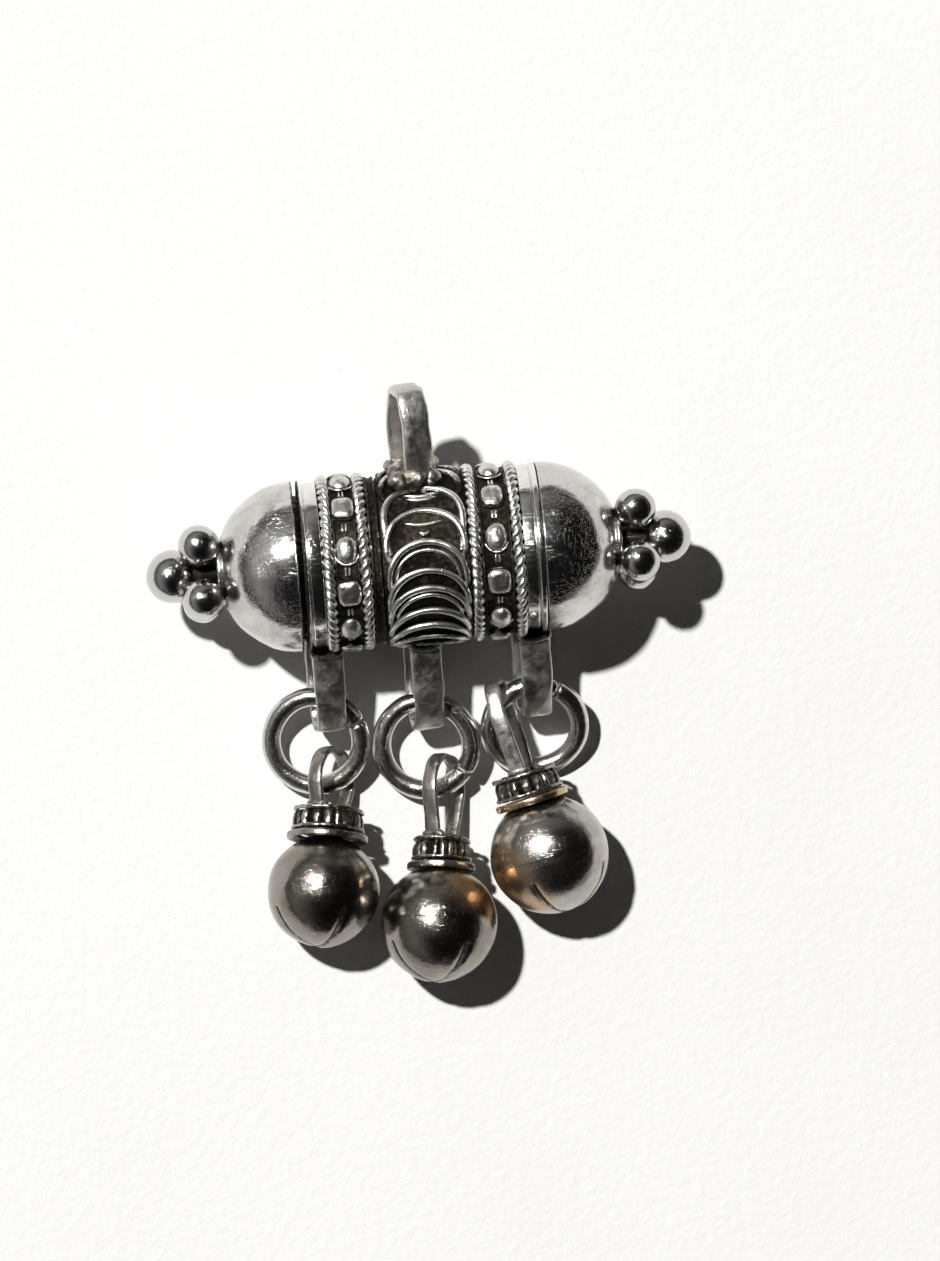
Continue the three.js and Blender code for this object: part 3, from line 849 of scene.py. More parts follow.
@dataclass
class Barrel:
    """The tube with the rings, wires and beads that are soldered round it."""

    wardrobe: Wardrobe
    place: Place
    bore: float = 6.5
    wall: float = 0.6
    length: float = 21.5
    seat: float = 0.05
    collar_width: float = 1.75
    collar_rise: float = 0.6
    rope_radius: float = 0.4
    rope_turns: int = 25
    strand: float = 0.27
    gap: float = 0.15
    left_strip: float = 2.1
    right_strip: float = 2.7
    strip_rise: float = 0.3
    edging_width: float = 0.9
    edging_rise: float = 0.4
    bead_count: int = 12
    bead_phase: float = -27.0
    bead_size: tuple[float, float, float] = (1.06, 1.24, 0.74)

    @property
    def round(self) -> float:
        """The radius that the ornament starts from."""
        return self.bore + self.wall + self.seat

    @property
    def end(self) -> float:
        """Half the tube's length."""
        return self.length / 2

    @property
    def rope_x(self) -> float:
        """Where the outer ropes run."""
        return self.end - self.collar_width - self.gap - self.rope_radius

    @property
    def strip_end(self) -> float:
        """The outer edge of both bead strips."""
        return self.rope_x - self.rope_radius - self.gap

    @property
    def inner_ropes(self) -> tuple[float, float]:
        """Where the inner ropes run, left and right."""
        step = self.gap + self.rope_radius
        return -(self.strip_end - self.left_strip - step), self.strip_end - self.right_strip - step

    @property
    def field(self) -> tuple[float, float]:
        """The scale field's edges, left and right."""
        left, right = self.inner_ropes
        step = self.gap + self.rope_radius
        return left + step + self.edging_width + self.gap, right - step

    def tube(self) -> None:
        """Builds the tube itself, with a spun wall and turned-over edges."""
        outer, inner, end = self.bore + self.wall, self.bore, self.end
        section = tooled([(inner, -end), (outer, -end), (outer, end), (inner, end)], 0.12)
        surface = Surface()
        surface.revolve(section, self.place, 144, worn_outwards(inner, outer, 0.25, 0.1))
        piece = surface.build("tube_wall")
        self.wardrobe.fit(piece, BLACKENED, "barrel", "tube", "worn_silver")

    def collar(self, end: End) -> None:
        """Builds a collar at an end: a polished lip at the seam and a flat band inside it.

        Args:
            end: Which end.
        """
        sign = end.value
        inner, top = self.round, self.round + self.collar_rise
        outer_x, inner_x = self.end, self.end - self.collar_width
        lip = 0.42 if end is End.LEFT else 0.55
        dark = 0.16 if end is End.LEFT else 0.0
        shape = [
            (inner, inner_x),
            (top - 0.22, inner_x),
            (top - 0.16, outer_x - lip - 0.2),
            (top - 0.30, outer_x - lip - 0.08),
            (top, outer_x - lip + 0.08),
            (top, outer_x - 0.04),
            (top - 0.25, outer_x),
            (inner, outer_x),
        ]
        section = [(r, sign * x) for r, x in tooled(shape, 0.09)]

        def worn(x: Points, radius: Points, angle: Points) -> Points:
            """The groove beside the lip is dark, and so is the face at the seam."""
            from_seam = outer_x - sign * x
            return smoothstep(top - 0.36, top - 0.16, radius) * smoothstep(dark, dark + 0.14, from_seam)

        def wavy(x: Points, angle: Points) -> Points:
            """Hand-filed unevenness."""
            return 0.025 * np.sin(3 * angle + sign) - 0.03 + 0.015 * np.sin(11 * angle)

        surface = Surface()
        surface.revolve(section, self.place, 160, worn, wavy)
        piece = surface.build(f"collar_band_{end.label}", 50.0)
        self.wardrobe.fit(piece, POLISHED, "barrel", f"collar_{end.label}", "polished_silver")

    def rope(self, x: float, label: str, hand: int) -> None:
        """Builds a ring of two wires twisted together.

        Args:
            x: Where it runs.
            label: The node's ending.
            hand: 1 or -1, which way it is twisted.
        """
        surface = Surface()
        steps = self.rope_turns * 14
        angle = np.linspace(0.0, 2.0 * math.pi, steps, endpoint=False)
        offset = 0.2
        corners = 8
        middle = self.round + self.rope_radius
        for strand in range(2):
            twist = hand * self.rope_turns * angle + strand * math.pi
            slack = 1.0 + 0.06 * np.sin(5 * angle + x)
            radius = middle + offset * np.cos(twist)
            beside = x + 1.2 * offset * slack * np.sin(twist)
            path = self.place.out(round_tube(beside, radius, angle))
            out = outward(self.place, angle)
            height = np.cos(np.linspace(0.0, 2.0 * math.pi, corners, endpoint=False) - math.pi / 2)
            crest = (np.cos(twist)[:, None] * 0.30 + height[None, :] * 0.28 + 0.52).clip(0.0, 1.0)
            wide, high = self.strand * 1.12, self.strand * 0.98
            surface.pipe(path, wide, high, out, closed=True, sides=corners, relief=crest)
        piece = surface.build(f"twisted_wire_{label}", 80.0)
        self.wardrobe.fit(piece, ORNAMENT, "barrel", f"rope_{label}", "worn_silver")

    def bead_strip(self, end: End) -> None:
        """Builds a strip with square pads and round granules in turn.

        Args:
            end: Which end it is nearer to.
        """
        width = self.left_strip if end is End.LEFT else self.right_strip
        middle = end.value * (self.strip_end - width / 2)
        low, high = middle - width / 2, middle + width / 2
        floor = self.round + self.strip_rise
        surface = Surface()
        rim = 0.16
        half = [
            (self.round, 0.0),
            (floor + 0.05, 0.0),
            (floor + 0.05, rim),
            (floor - 0.06, 1.6 * rim),
        ]
        shape = [(r, low + x) for r, x in half] + [(r, high - x) for r, x in reversed(half)]
        worn = worn_outwards(floor - 0.08, floor + 0.16, 0.5)
        surface.revolve(tooled(shape, 0.05, 2), self.place, 180, worn)
        for i in range(self.bead_count):
            kind = BeadKind.ROUND if i % 2 == 0 else BeadKind.SQUARE
            wander = noise.noise(Vector((i * 1.7, end.value * 3.0, 0.5)))
            angle = self.bead_phase + 360.0 * i / self.bead_count + wander * 2.2
            seat = self.on_tube(middle + wander * 0.08, floor - 0.08, angle, wander * 9.0)
            self.bead(surface, seat, kind, wander)
            self.divider(surface, middle, floor - 0.08, angle + 180.0 / self.bead_count)
        piece = surface.build(f"bead_row_{end.label}", 60.0)
        hammer(piece, 1.0, 0.06, 3 + end.value)
        hammer(piece, 0.4, 0.03, 5 + end.value)
        self.wardrobe.fit(piece, ORNAMENT, "barrel", f"bead_strip_{end.label}", "worn_silver")

    def on_tube(self, x: float, radius: float, degrees: float, spin: float = 0.0) -> Place:
        """A frame that stands on the tube, with its Z outwards and its Y along the way round.

        Args:
            x: Where along the tube.
            radius: How far out.
            degrees: Where round it.
            spin: A turn about its own Z.

        Returns:
            The frame.
        """
        turn = turn_about("X", degrees)
        away = turn @ Vector((0.0, 0.0, radius))
        return self.place.within((x, away.y, away.z), turn @ turn_about("Z", spin))

    def bead(self, surface: Surface, seat: Place, kind: BeadKind, wander: float) -> None:
        """Adds one bead with the solder round its foot.

        Args:
            surface: What it is added to.
            seat: Where it stands.
            kind: Round or square.
            wander: A number from -1 to 1 that sets it apart from the others.
        """
        across, along, rise = self.bead_size
        across *= 1.0 + 0.08 * wander
        if kind is BeadKind.ROUND:
            low = -0.15
            egg = (across * 0.90, along * 1.04, rise * (1.10 + 0.06 * wander))
            middle = (0.0, -0.06, 0.08)
            surface.blob(middle, egg, seat, 32, 2.15, lambda h: smoothstep(0.0, 0.62, h), low)
            turns = np.linspace(-1.15, 1.15, 26) - math.pi / 2
            wide, long = across * 1.06 * np.cos(turns), along * 1.12 * np.sin(turns)
            ring = np.stack([wide, long, 0.10 + 0.0 * turns], axis=-1)
            up = seat.direction((0.0, 0.0, 1.0))
            thin = 0.14 * np.sqrt(np.clip(1.0 - (np.abs(turns + math.pi / 2) / 1.3) ** 2, 0.05, 1.0))
            surface.pipe(seat.out(ring), thin, thin, up, sides=8, relief=0.72)
        else:
            low = -0.05
            block = (across * 0.98, along * 0.96, rise * (0.92 + 0.14 * wander))
            skirt = (across * 1.08, along * 1.06, rise * 0.32)
            boxy = 3.1 + 0.7 * wander
            surface.blob(ORIGIN, block, seat, 40, boxy, lambda h: smoothstep(0.15, 0.9, h), low)
            surface.blob(ORIGIN, skirt, seat, 28, 4.0, lambda h: 0.34 * h, low)

    def divider(self, surface: Surface, x: float, radius: float, degrees: float) -> None:
        """Adds two short wires between two beads.

        Args:
            surface: What they are added to.
            x: Where along the tube.
            radius: How far out.
            degrees: Where round it.
        """
        for side in (-1, 1):
            reach = np.linspace(-0.34, 0.34, 7)
            angle = math.radians(degrees) + reach / radius
            flat = 0.0 * reach
            beside = x + side * 0.16 + flat
            path = self.place.out(round_tube(beside, radius + 0.07 + flat, angle))
            out = path - self.place.out(np.stack([beside, flat, flat], axis=-1))
            out = out / np.linalg.norm(out, axis=1)[:, None]
            surface.pipe(path, 0.11, 0.13, out, sides=8, relief=0.55)

    def edging(self) -> None:
        """Builds the plain strip with two raised edges, beside the left rope."""
        left = self.inner_ropes[0] + self.rope_radius + self.gap
        right = left + self.edging_width
        top, inner = self.round + self.edging_rise, self.round
        shape = [
            (inner, left),
            (top, left),
            (top, left + 0.22),
            (top - 0.13, left + 0.30),
            (top - 0.13, right - 0.30),
            (top, right - 0.22),
            (top, right),
            (inner, right),
        ]
        surface = Surface()
        worn = worn_outwards(top - 0.14, top + 0.05, 0.40)
        surface.revolve(tooled(shape, 0.06), self.place, 160, worn)
        piece = surface.build("edging_band", 50.0)
        hammer(piece, 1.2, 0.05, 8)
        self.wardrobe.fit(piece, ORNAMENT, "barrel", "edging_strip", "blackened_silver")

    def build(self) -> None:
        """Builds everything on the tube but the scales."""
        self.tube()
        for end in End:
            self.collar(end)
            self.bead_strip(end)
        left, right = self.inner_ropes
        self.rope(-self.rope_x, "outer_left", 1)
        self.rope(left, "inner_left", -1)
        self.rope(right, "inner_right", 1)
        self.rope(self.rope_x, "outer_right", -1)
        self.edging()


@dataclass
class ScaleField:
    """The overlapping scales in the middle of the tube, each edged with a bent wire."""

    wardrobe: Wardrobe
    barrel: Barrel
    seen_crowns: tuple[float, ...] = (-69.0, -49.0, -27.0, -8.0, 4.0, 21.0, 35.0, 49.0)
    pitch: float = 18.0
    arch: float = 3.3
    leg: float = 1.0
    wire: float = 0.28
    lining: float = 0.17
    lined: tuple[int, ...] = (2, 4)
    dashes: tuple[tuple[int, float, float], ...] = (
        (0, 0.85, 1.5),
        (0, 1.28, 1.3),
        (1, 1.25, 1.65),
        (1, 2.1, 0.5),
    )
    rise: float = 0.30
    sheet: float = 0.2

    @property
    def crowns(self) -> list[float]:
        """Every arch's angle round the tube: those that are seen, and an even row behind."""
        behind = self.seen_crowns[-1] + self.pitch
        rows = list(self.seen_crowns)
        while behind < 360.0 + self.seen_crowns[0] - 0.5 * self.pitch:
            rows.append(behind)
            behind += self.pitch
        return rows

    @property
    def half(self) -> float:
        """Half an arch's width."""
        left, right = self.barrel.field
        return (right - left) / 2 - self.wire - 0.08

    @property
    def middle(self) -> float:
        """The field's middle."""
        return sum(self.barrel.field) / 2

    def drop(self, x: Points) -> Points:
        """How far an arch has come down from its crown at a place across it, in mm."""
        across = np.clip((np.asarray(x, float) - self.middle) / self.half, -1.0, 1.0)
        return self.arch * (1.0 - np.sqrt(1.0 - across**2))

    def scales(self) -> None:
        """Builds the scales themselves, as one sheet that steps up to each arch."""
        base = self.barrel.round + self.sheet
        left, right = self.barrel.field
        xs = np.linspace(left, right, 64)
        angles = np.linspace(0.0, 2.0 * math.pi, 900, endpoint=False)
        angle, x = np.meshgrid(angles, xs, indexing="xy")
        arc = angle * base
        turn = 2.0 * math.pi * base
        nearest = np.full(x.shape, turn)
        for crown in self.crowns:
            inside = np.mod(arc - math.radians(crown) * base - self.drop(x), turn)
            nearest = np.minimum(nearest, inside)
        across = np.abs(x - self.middle) / self.half
        fade = 1.0 - smoothstep(0.85, 1.08, across)
        height = self.rise * np.exp(-nearest / 1.1) * fade
        radius = base + height
        outer = round_tube(x, radius, angle)
        inner = round_tube(x, self.barrel.round + 0.0 * x, angle)
        rows = np.concatenate([outer, inner[::-1]], axis=0)
        worn = np.concatenate([smoothstep(0.02, 0.42, height) * 0.62, 0.0 * x[::-1]], axis=0)
        surface = Surface()
        surface.grid(self.barrel.place.out(rows), worn, wrap_u=True)
        piece = surface.build("scale_sheet", 70.0)
        hammer(piece, 0.5, 0.05, 12)
        self.wardrobe.fit(piece, ORNAMENT, "barrel", "scale_field", "blackened_silver")

    def wires(self) -> None:
        """Builds the bent wires on the scales' edges."""
        surface = Surface()
        for i, crown in enumerate(self.crowns):
            wander = noise.noise(Vector((i * 2.3, 1.1, 4.0)))
            leg = 3.0 if i == 0 else self.leg
            arch = self.arch * (1.0 + 0.10 * wander)
            self.bent_wire(surface, crown, arch, self.half, leg, self.wire, 0.10, wander)
            if i in self.lined:
                arch, half = self.arch * 0.85, self.half - 0.62
                self.bent_wire(surface, crown + 5.5, arch, half, 0.8, self.lining, -0.04, wander)
        for scale, below, length in self.dashes:
            self.dash(surface, self.crowns[scale], below, length)
        piece = surface.build("scale_wires", 60.0)
        hammer(piece, 0.9, 0.035, 15)
        self.wardrobe.fit(piece, ORNAMENT, "barrel", "scale_field", "worn_silver")

    def bent_wire(
        self,
        surface: Surface,
        crown: float,
        arch: float,
        half: float,
        leg: float,
        wire: float,
        proud: float,
        wander: float,
    ) -> None:
        """Adds one bent wire.

        Args:
            surface: What it is added to.
            crown: Its crown's angle round the tube.
            arch: How far it comes down before its legs.
            half: Half its width.
            leg: How long its legs are.
            wire: Half the wire's thickness.
            proud: How far its crown stands over the scale.
            wander: A number from -1 to 1 that sets it apart from the others.
        """
        base = self.barrel.round + self.sheet
        sweep = np.linspace(math.pi, 0.0, 44)
        bend_x = self.middle + 0.08 * wander + half * (1.0 - 0.03 * abs(wander)) * np.cos(sweep)
        bend_arc = arch * (1.0 - np.sin(sweep) ** 0.85)
        legs = np.linspace(leg, 0.25, 8)
        tuck = 0.35 * (legs / leg) ** 2
        x = np.concatenate([bend_x[0] + tuck, bend_x, bend_x[-1] - tuck[::-1]])
        arc = np.concatenate([arch + legs, bend_arc, arch + legs[::-1]])
        lift = self.rise + proud - 0.36 * smoothstep(0.15 * arch, arch + leg, arc)
        angle = math.radians(crown) + arc / base
        path = self.barrel.place.out(round_tube(x, base + lift, angle))
        out = outward(self.barrel.place, angle)
        beat = 1.0 + 0.12 * np.sin(np.linspace(0.0, 9.0, len(x)) + crown)
        crest = 0.55 + 0.45 * np.sin(np.linspace(0.0, 2.0 * math.pi, 12, endpoint=False))
        # Painted shade: rows whose crowns lie further round towards the paper are darkened. Each wire is also
        # darker towards its legs.
        shade = 1.0 - 0.45 * float(smoothstep(20.0, 60.0, np.array(crown)))
        leg_fade_and_painted_shade = shade * (1.0 - 0.62 * smoothstep(0.25 * arch, arch + 0.5 * leg, arc))
        worn = crest[None, :] * leg_fade_and_painted_shade[:, None]
        surface.pipe(path, wire * beat, wire, out, sides=12, square=2.4, relief=worn)

    def dash(self, surface: Surface, crown: float, below: float, length: float) -> None:
        """Adds a short wire that lies across a scale, with its ends turned up.

        Args:
            surface: What it is added to.
            crown: The angle of the arch that it lies under.
            below: How far under it.
            length: Half its length.
        """
        base = self.barrel.round + self.sheet
        along = np.linspace(-1.0, 1.0, 15)
        arc = below - 0.22 * along**2
        angle = math.radians(crown) + arc / base
        x = self.middle + length * along
        path = self.barrel.place.out(round_tube(x, base + 0.20, angle))
        out = outward(self.barrel.place, angle)
        thin = 0.19 * np.sqrt(np.clip(1.0 - along**4, 0.08, 1.0))
        surface.pipe(path, thin, thin, out, sides=10, relief=0.7)

    def build(self) -> None:
        """Builds the sheet and its wires."""
        self.scales()
        self.wires()


# ---------------------------------------------------------------- bent straps


@dataclass(frozen=True)
class Bow:
    """A strip bent to a U with a flat crown.

    In its frame X runs across it, Y up it and Z along its width. The foot is the legs' span where they
    start, and tall is how high the bend rises. Both are 0 where the legs run straight up to a round bend.
    """

    span: float
    height: float
    width: float
    thick: float
    flat: float
    foot: float = 0.0
    tall: float = 0.0

    def line(self, start: float, steps: int = 16) -> tuple[Points, Points]:
        """The strip's middle line.

        Args:
            start: The height where the legs begin.
            steps: Points in a bend.

        Returns:
            The points, and the outward direction at each.
        """
        half = (self.span - self.thick) / 2
        bend = (self.span - self.flat - self.thick) / 2
        top = self.height - self.thick / 2
        tall = self.tall or bend
        turn = np.linspace(0.0, math.pi / 2, steps)
        leg = np.linspace(start, top - tall, 10)[:-1]
        flat = np.linspace(-(half - bend), half - bend, 6)[1:-1]
        splay = half - (self.foot - self.thick) / 2 if self.foot else 0.0
        spread = splay * (1.0 - (leg - start) / (top - tall - start))
        x = np.concatenate([spread - half, -(half - bend) - bend * np.cos(turn), flat])
        y = np.concatenate([leg, top - tall + tall * np.sin(turn), top + 0.0 * flat])
        out_x = np.concatenate([-1.0 + 0.0 * leg, -tall * np.cos(turn), 0.0 * flat])
        out_y = np.concatenate([0.0 * leg, bend * np.sin(turn), 1.0 + 0.0 * flat])
        other = len(leg) + len(turn)
        x = np.concatenate([x, -x[:other][::-1]])
        y = np.concatenate([y, y[:other][::-1]])
        out_x = np.concatenate([out_x, -out_x[:other][::-1]])
        out_y = np.concatenate([out_y, out_y[:other][::-1]])
        zero = 0.0 * x
        return np.stack([x, y, zero], axis=-1), np.stack([out_x, out_y, zero], axis=-1)

    def sweep(self, surface: Surface, place: Place, start: float, square: float, waver: float) -> None:
        """Adds the strip.

        Args:
            surface: What it is added to.
            place: Its frame.
            start: The height where the legs begin.
            square: How boxy its section is.
            waver: How uneven its width is, as a part of it.
        """
        path, out = self.line(start)
        along = np.linspace(0.0, 1.0, len(path))
        uneven = 1.0 + waver * np.sin(17.0 * along) + waver * np.sin(41.0 * along + 1.0) * 0.6
        width = self.width / 2 * uneven
        sides = 28
        corner = np.linspace(0.0, 2.0 * math.pi, sides, endpoint=False)
        worn = 0.74 + 0.26 * np.abs(np.cos(corner)) + 0.0 * along[:, None]
        path, out = place.out(path), place.direction(out)
        surface.pipe(path, width, self.thick / 2, out, sides=sides, square=square, relief=worn)


@dataclass
class Bail:
    """The strap on top that the pendant hangs from, and the lump of solder that it stands in."""

    wardrobe: Wardrobe
    place: Place
    x: float = -0.3
    twist: float = 14.0
    bow: Bow = Bow(6.0, 16.0, 2.62, 0.85, 1.4, 4.6, 4.8)
    leg_start: float = 7.2
    foot: tuple[float, float, float] = (2.2, 1.25, 3.35)
    foot_radius: float = 7.85
    lumps: tuple[tuple[float, float], ...] = (
        (-1.5, 2.3),
        (1.5, 2.4),
        (-1.3, -2.4),
        (1.6, -2.2),
        (0.3, 2.9),
    )

    def build(self) -> None:
        """Builds the strap with its foot."""
        stand = self.place.within((self.x, 0.0, 0.0), turn_about("Y", 90.0 + self.twist))
        strap = Surface()
        self.bow.sweep(strap, stand, self.leg_start, 3.2, 0.025)
        piece = strap.build("bail_strap", 70.0)
        hammer(piece, 1.6, 0.07, 21)
        hammer(piece, 0.5, 0.025, 22)
        self.wardrobe.fit(piece, STRAP, "barrel", "bail", "worn_silver")
        solder = Surface()
        seat = self.place.within((self.x, self.foot_radius, 0.0), turn_about("X", -90.0))
        wide, rise, deep = self.foot
        solder.blob(ORIGIN, (wide, deep, rise), seat, 56, 3.0, lambda h: 0.42 + 0.2 * h)
        for i, (along, across) in enumerate(self.lumps):
            size = 0.80 + 0.10 * (i % 3)
            radii = (size, size * 1.2, size * 0.8)
            solder.blob((along, across, 0.15), radii, seat, 24, 2.3, lambda h: 0.4 + 0.3 * h)
        lump = solder.build("bail_solder", 80.0)
        hammer(lump, 1.1, 0.34, 23)
        hammer(lump, 0.4, 0.08, 24)
        self.wardrobe.fit(lump, SOLDER, "barrel", "bail", "worn_silver")


@dataclass
class StrapLoop:
    """A strap loop under the tube that holds a jump ring."""

    wardrobe: Wardrobe
    place: Place
    side: str
    x: float
    reach: float
    lump: float = 0.0
    seat: float = 8.25
    leg_start: float = 7.3
    span: float = 5.6
    width: float = 2.8
    thick: float = 0.7
    flat: float = 1.2
    tall: float = 3.9
    twist: float = 6.0

    def build(self) -> None:
        """Builds the loop and the solder at its feet."""
        height = self.seat + self.reach
        bow = Bow(self.span, height, self.width, self.thick, self.flat, 0.0, self.tall)
        turn = turn_about("Z", 180.0) @ turn_about("Y", 90.0 - self.twist)
        stand = self.place.within((self.x, 0.0, 0.0), turn)
        strap = Surface()
        bow.sweep(strap, stand, self.leg_start, 3.0, 0.03)
        piece = strap.build(f"strap_loop_{self.side}", 70.0)
        hammer(piece, 1.8, 0.07, 31 + int(self.x))
        hammer(piece, 0.5, 0.025, 34)
        self.wardrobe.fit(piece, STRAP, "barrel", f"loop_{self.side}", "worn_silver")
        solder = Surface()
        half = self.span / 2 - self.thick / 2
        base = math.sqrt(self.seat**2 - half**2) - 0.35
        for hand in (-1, 1):
            foot = stand.within((hand * half, base, 0.0), turn_about("X", -90.0))
            radii = (0.72, self.width * 0.56, 0.62)
            solder.blob(ORIGIN, radii, foot, 32, 2.8, lambda h: 0.45 + 0.3 * h)
        if self.lump:
            spot = stand.within((-half * 0.55, base + 0.9, self.lump), turn_about("X", -90.0))
            solder.blob(ORIGIN, (0.75, 0.6, 0.7), spot, 24, 2.0, lambda h: 0.6 + 0.3 * h)
        lump = solder.build(f"loop_solder_{self.side}", 80.0)
        hammer(lump, 0.8, 0.12, 37 + int(self.x))
        self.wardrobe.fit(lump, SOLDER, "barrel", f"loop_{self.side}", "worn_silver")


# ---------------------------------------------------------------- domed ends


@dataclass
class DomedEnd:
    """A dome with a neck, four granules round it and one on its tip."""

    wardrobe: Wardrobe
    place: Place
    end: End
    phase: float
    body: str
    radius: float = 7.75
    length: float = 7.4
    wall: float = 0.6
    neck_radius: float = 2.9
    neck_at: float = 6.91
    peg_radius: float = 1.25
    ball: float = 1.85
    ball_along: float = 8.68
    ball_out: float = 3.37
    tip: float = 2.4
    tip_along: float = 11.30

    def dome(self) -> None:
        """Spins the dome: a smooth shell with a rim that was filed flat."""
        last = math.acos(self.neck_radius / self.radius)
        sweep = np.linspace(last, 0.0, 44)
        outside = [(self.radius * math.cos(t), self.length * math.sin(t)) for t in sweep]
        inside_r, inside_l = self.radius - self.wall, self.length - self.wall
        back = np.linspace(0.0, math.pi / 2, 24)
        inside = [(inside_r * math.cos(t), inside_l * math.sin(t)) for t in back[:-1]]
        rim = [(self.radius - 0.02, 0.05), (self.radius - 0.12, 0.0), (inside_r + 0.1, 0.0)]
        outer = [(0.0, outside[0][1]), *outside[:-1], (self.radius, 0.12)]
        profile = [*outer, *rim, *inside[1:], (0.0, inside_l)]
        seed = 1.0 + self.end.value
        dark = 0.10 if self.end is End.LEFT else 0.0

        def uneven(x: Points, angle: Points) -> Points:
            """The dome is a little out of round, and was raised by hand."""
            return 0.035 * np.sin(2 * angle + seed) * (1.0 - x / self.length) - 0.03

        def worn(x: Points, radius: Points, angle: Points) -> Points:
            """The rim at the seam is dark, and so is the inside."""
            return 0.92 * smoothstep(dark, dark + 0.22, x)

        surface = Surface()
        surface.revolve(profile, self.place, 160, worn, uneven, closed=False)
        piece = surface.build(f"dome_shell_{self.end.label}", 50.0)
        hammer(piece, 4.5, 0.05, 41 + self.end.value)
        hammer(piece, 1.9, 0.018, 43 + self.end.value)
        self.wardrobe.fit(piece, DOME, self.body, f"dome_{self.end.label}", "polished_silver")

    def neck(self) -> None:
        """Builds the neck: a wire ring on the dome's flat end, a dark seat and the peg to the tip."""
        base, disc, peg = self.neck_at, self.neck_radius, self.peg_radius
        low, high = (0.0, base - 0.1), (0.0, self.tip_along - 1.6)
        corners = [(disc, low[1]), (disc, base + 0.22), (peg, base + 0.42), (peg, high[1])]
        rounded = tooled([*corners, high], 0.08)
        profile = [low, *rounded[: 4 * len(corners)], high]
        surface = Surface()
        surface.revolve(profile, self.place, 96, 0.12, closed=False)
        turn = np.linspace(0.0, 2.0 * math.pi, 120, endpoint=False)
        ring = round_tube(base + 0.10 + 0.0 * turn, disc - 0.06, turn)
        out = outward(self.place, turn)
        surface.pipe(self.place.out(ring), 0.24, 0.24, out, closed=True, sides=12, relief=0.85)
        piece = surface.build(f"neck_ring_{self.end.label}", 60.0)
        hammer(piece, 1.0, 0.03, 45)
        self.wardrobe.fit(piece, WORN, self.body, f"neck_{self.end.label}", "blackened_silver")

    def granules(self) -> None:
        """Builds the balls and the solder between them."""
        solder = Surface()
        for i in range(4):
            angle = math.radians(self.phase + 90.0 * i)
            middle = round_tube(np.array(self.ball_along), np.array(self.ball_out), np.array(angle))
            wander = noise.noise(Vector((i * 3.7, self.end.value * 5.0, 2.2)))
            size = self.ball * (1.0 + 0.02 * wander)
            ball = Surface()
            place = self.place.within(tuple(middle), turn_about("Y", 40.0 * i))
            ball.blob(ORIGIN, (size, size, size), place, 48, 2.0, 0.93)
            piece = ball.build(f"granule_ball_{self.end.label}_{i + 1}", 80.0)
            hammer(piece, 2.6, 0.06, 50 + i)
            node = f"granule_{self.end.label}_{i + 1}"
            self.wardrobe.fit(piece, GRANULE, self.body, node, "polished_silver")
            below = self.neck_at + 0.35
            inner = round_tube(np.array(below), np.array(self.ball_out * 0.86), np.array(angle))
            solder.blob(tuple(inner), (0.55, 1.0, 1.0), self.place, 28, 2.0, 0.25)
            beyond = self.ball_along + 1.05
            outer = round_tube(np.array(beyond), np.array(self.ball_out * 0.60), np.array(angle))
            solder.blob(tuple(outer), (0.62, 0.62, 0.62), self.place, 24, 2.0, 0.35)
        fillet = solder.build(f"granule_solder_{self.end.label}", 80.0)
        hammer(fillet, 0.7, 0.10, 61)
        self.wardrobe.fit(fillet, SOLDER, self.body, f"neck_{self.end.label}", "blackened_silver")
        tip = Surface()
        radii = (self.tip * 0.97, self.tip, self.tip)
        tip.blob((self.tip_along, 0.0, 0.0), radii, self.place, 56, 2.0, 0.93)
        piece = tip.build(f"tip_ball_{self.end.label}", 80.0)
        hammer(piece, 3.0, 0.05, 63)
        self.wardrobe.fit(piece, GRANULE, self.body, f"tip_{self.end.label}", "polished_silver")

    def build(self) -> None:
        """Builds the whole end."""
        self.dome()
        self.neck()
        self.granules()


@dataclass
class CapPlug:
    """The sleeve that holds the left cap in the tube, with a lip inside the dome."""

    wardrobe: Wardrobe
    place: Place
    outer: float = 6.35
    wall: float = 0.4
    reach: float = 4.4
    lip: float = 6.95
    lip_rise: float = 0.6

    def build(self) -> None:
        """Builds the sleeve."""
        inner = self.outer - self.wall
        shape = [
            (inner, -self.reach),
            (self.outer, -self.reach),
            (self.outer, 0.02),
            (self.lip, 0.02),
            (self.lip, self.lip_rise),
            (inner, self.lip_rise),
        ]
        surface = Surface()
        worn = worn_outwards(inner, self.outer, 0.7)
        surface.revolve(tooled(shape, 0.07), self.place, 144, worn)
        piece = surface.build("cap_sleeve", 50.0)
        hammer(piece, 2.0, 0.02, 66)
        self.wardrobe.fit(piece, BLACKENED, "cap_left", "cap_plug", "worn_silver")


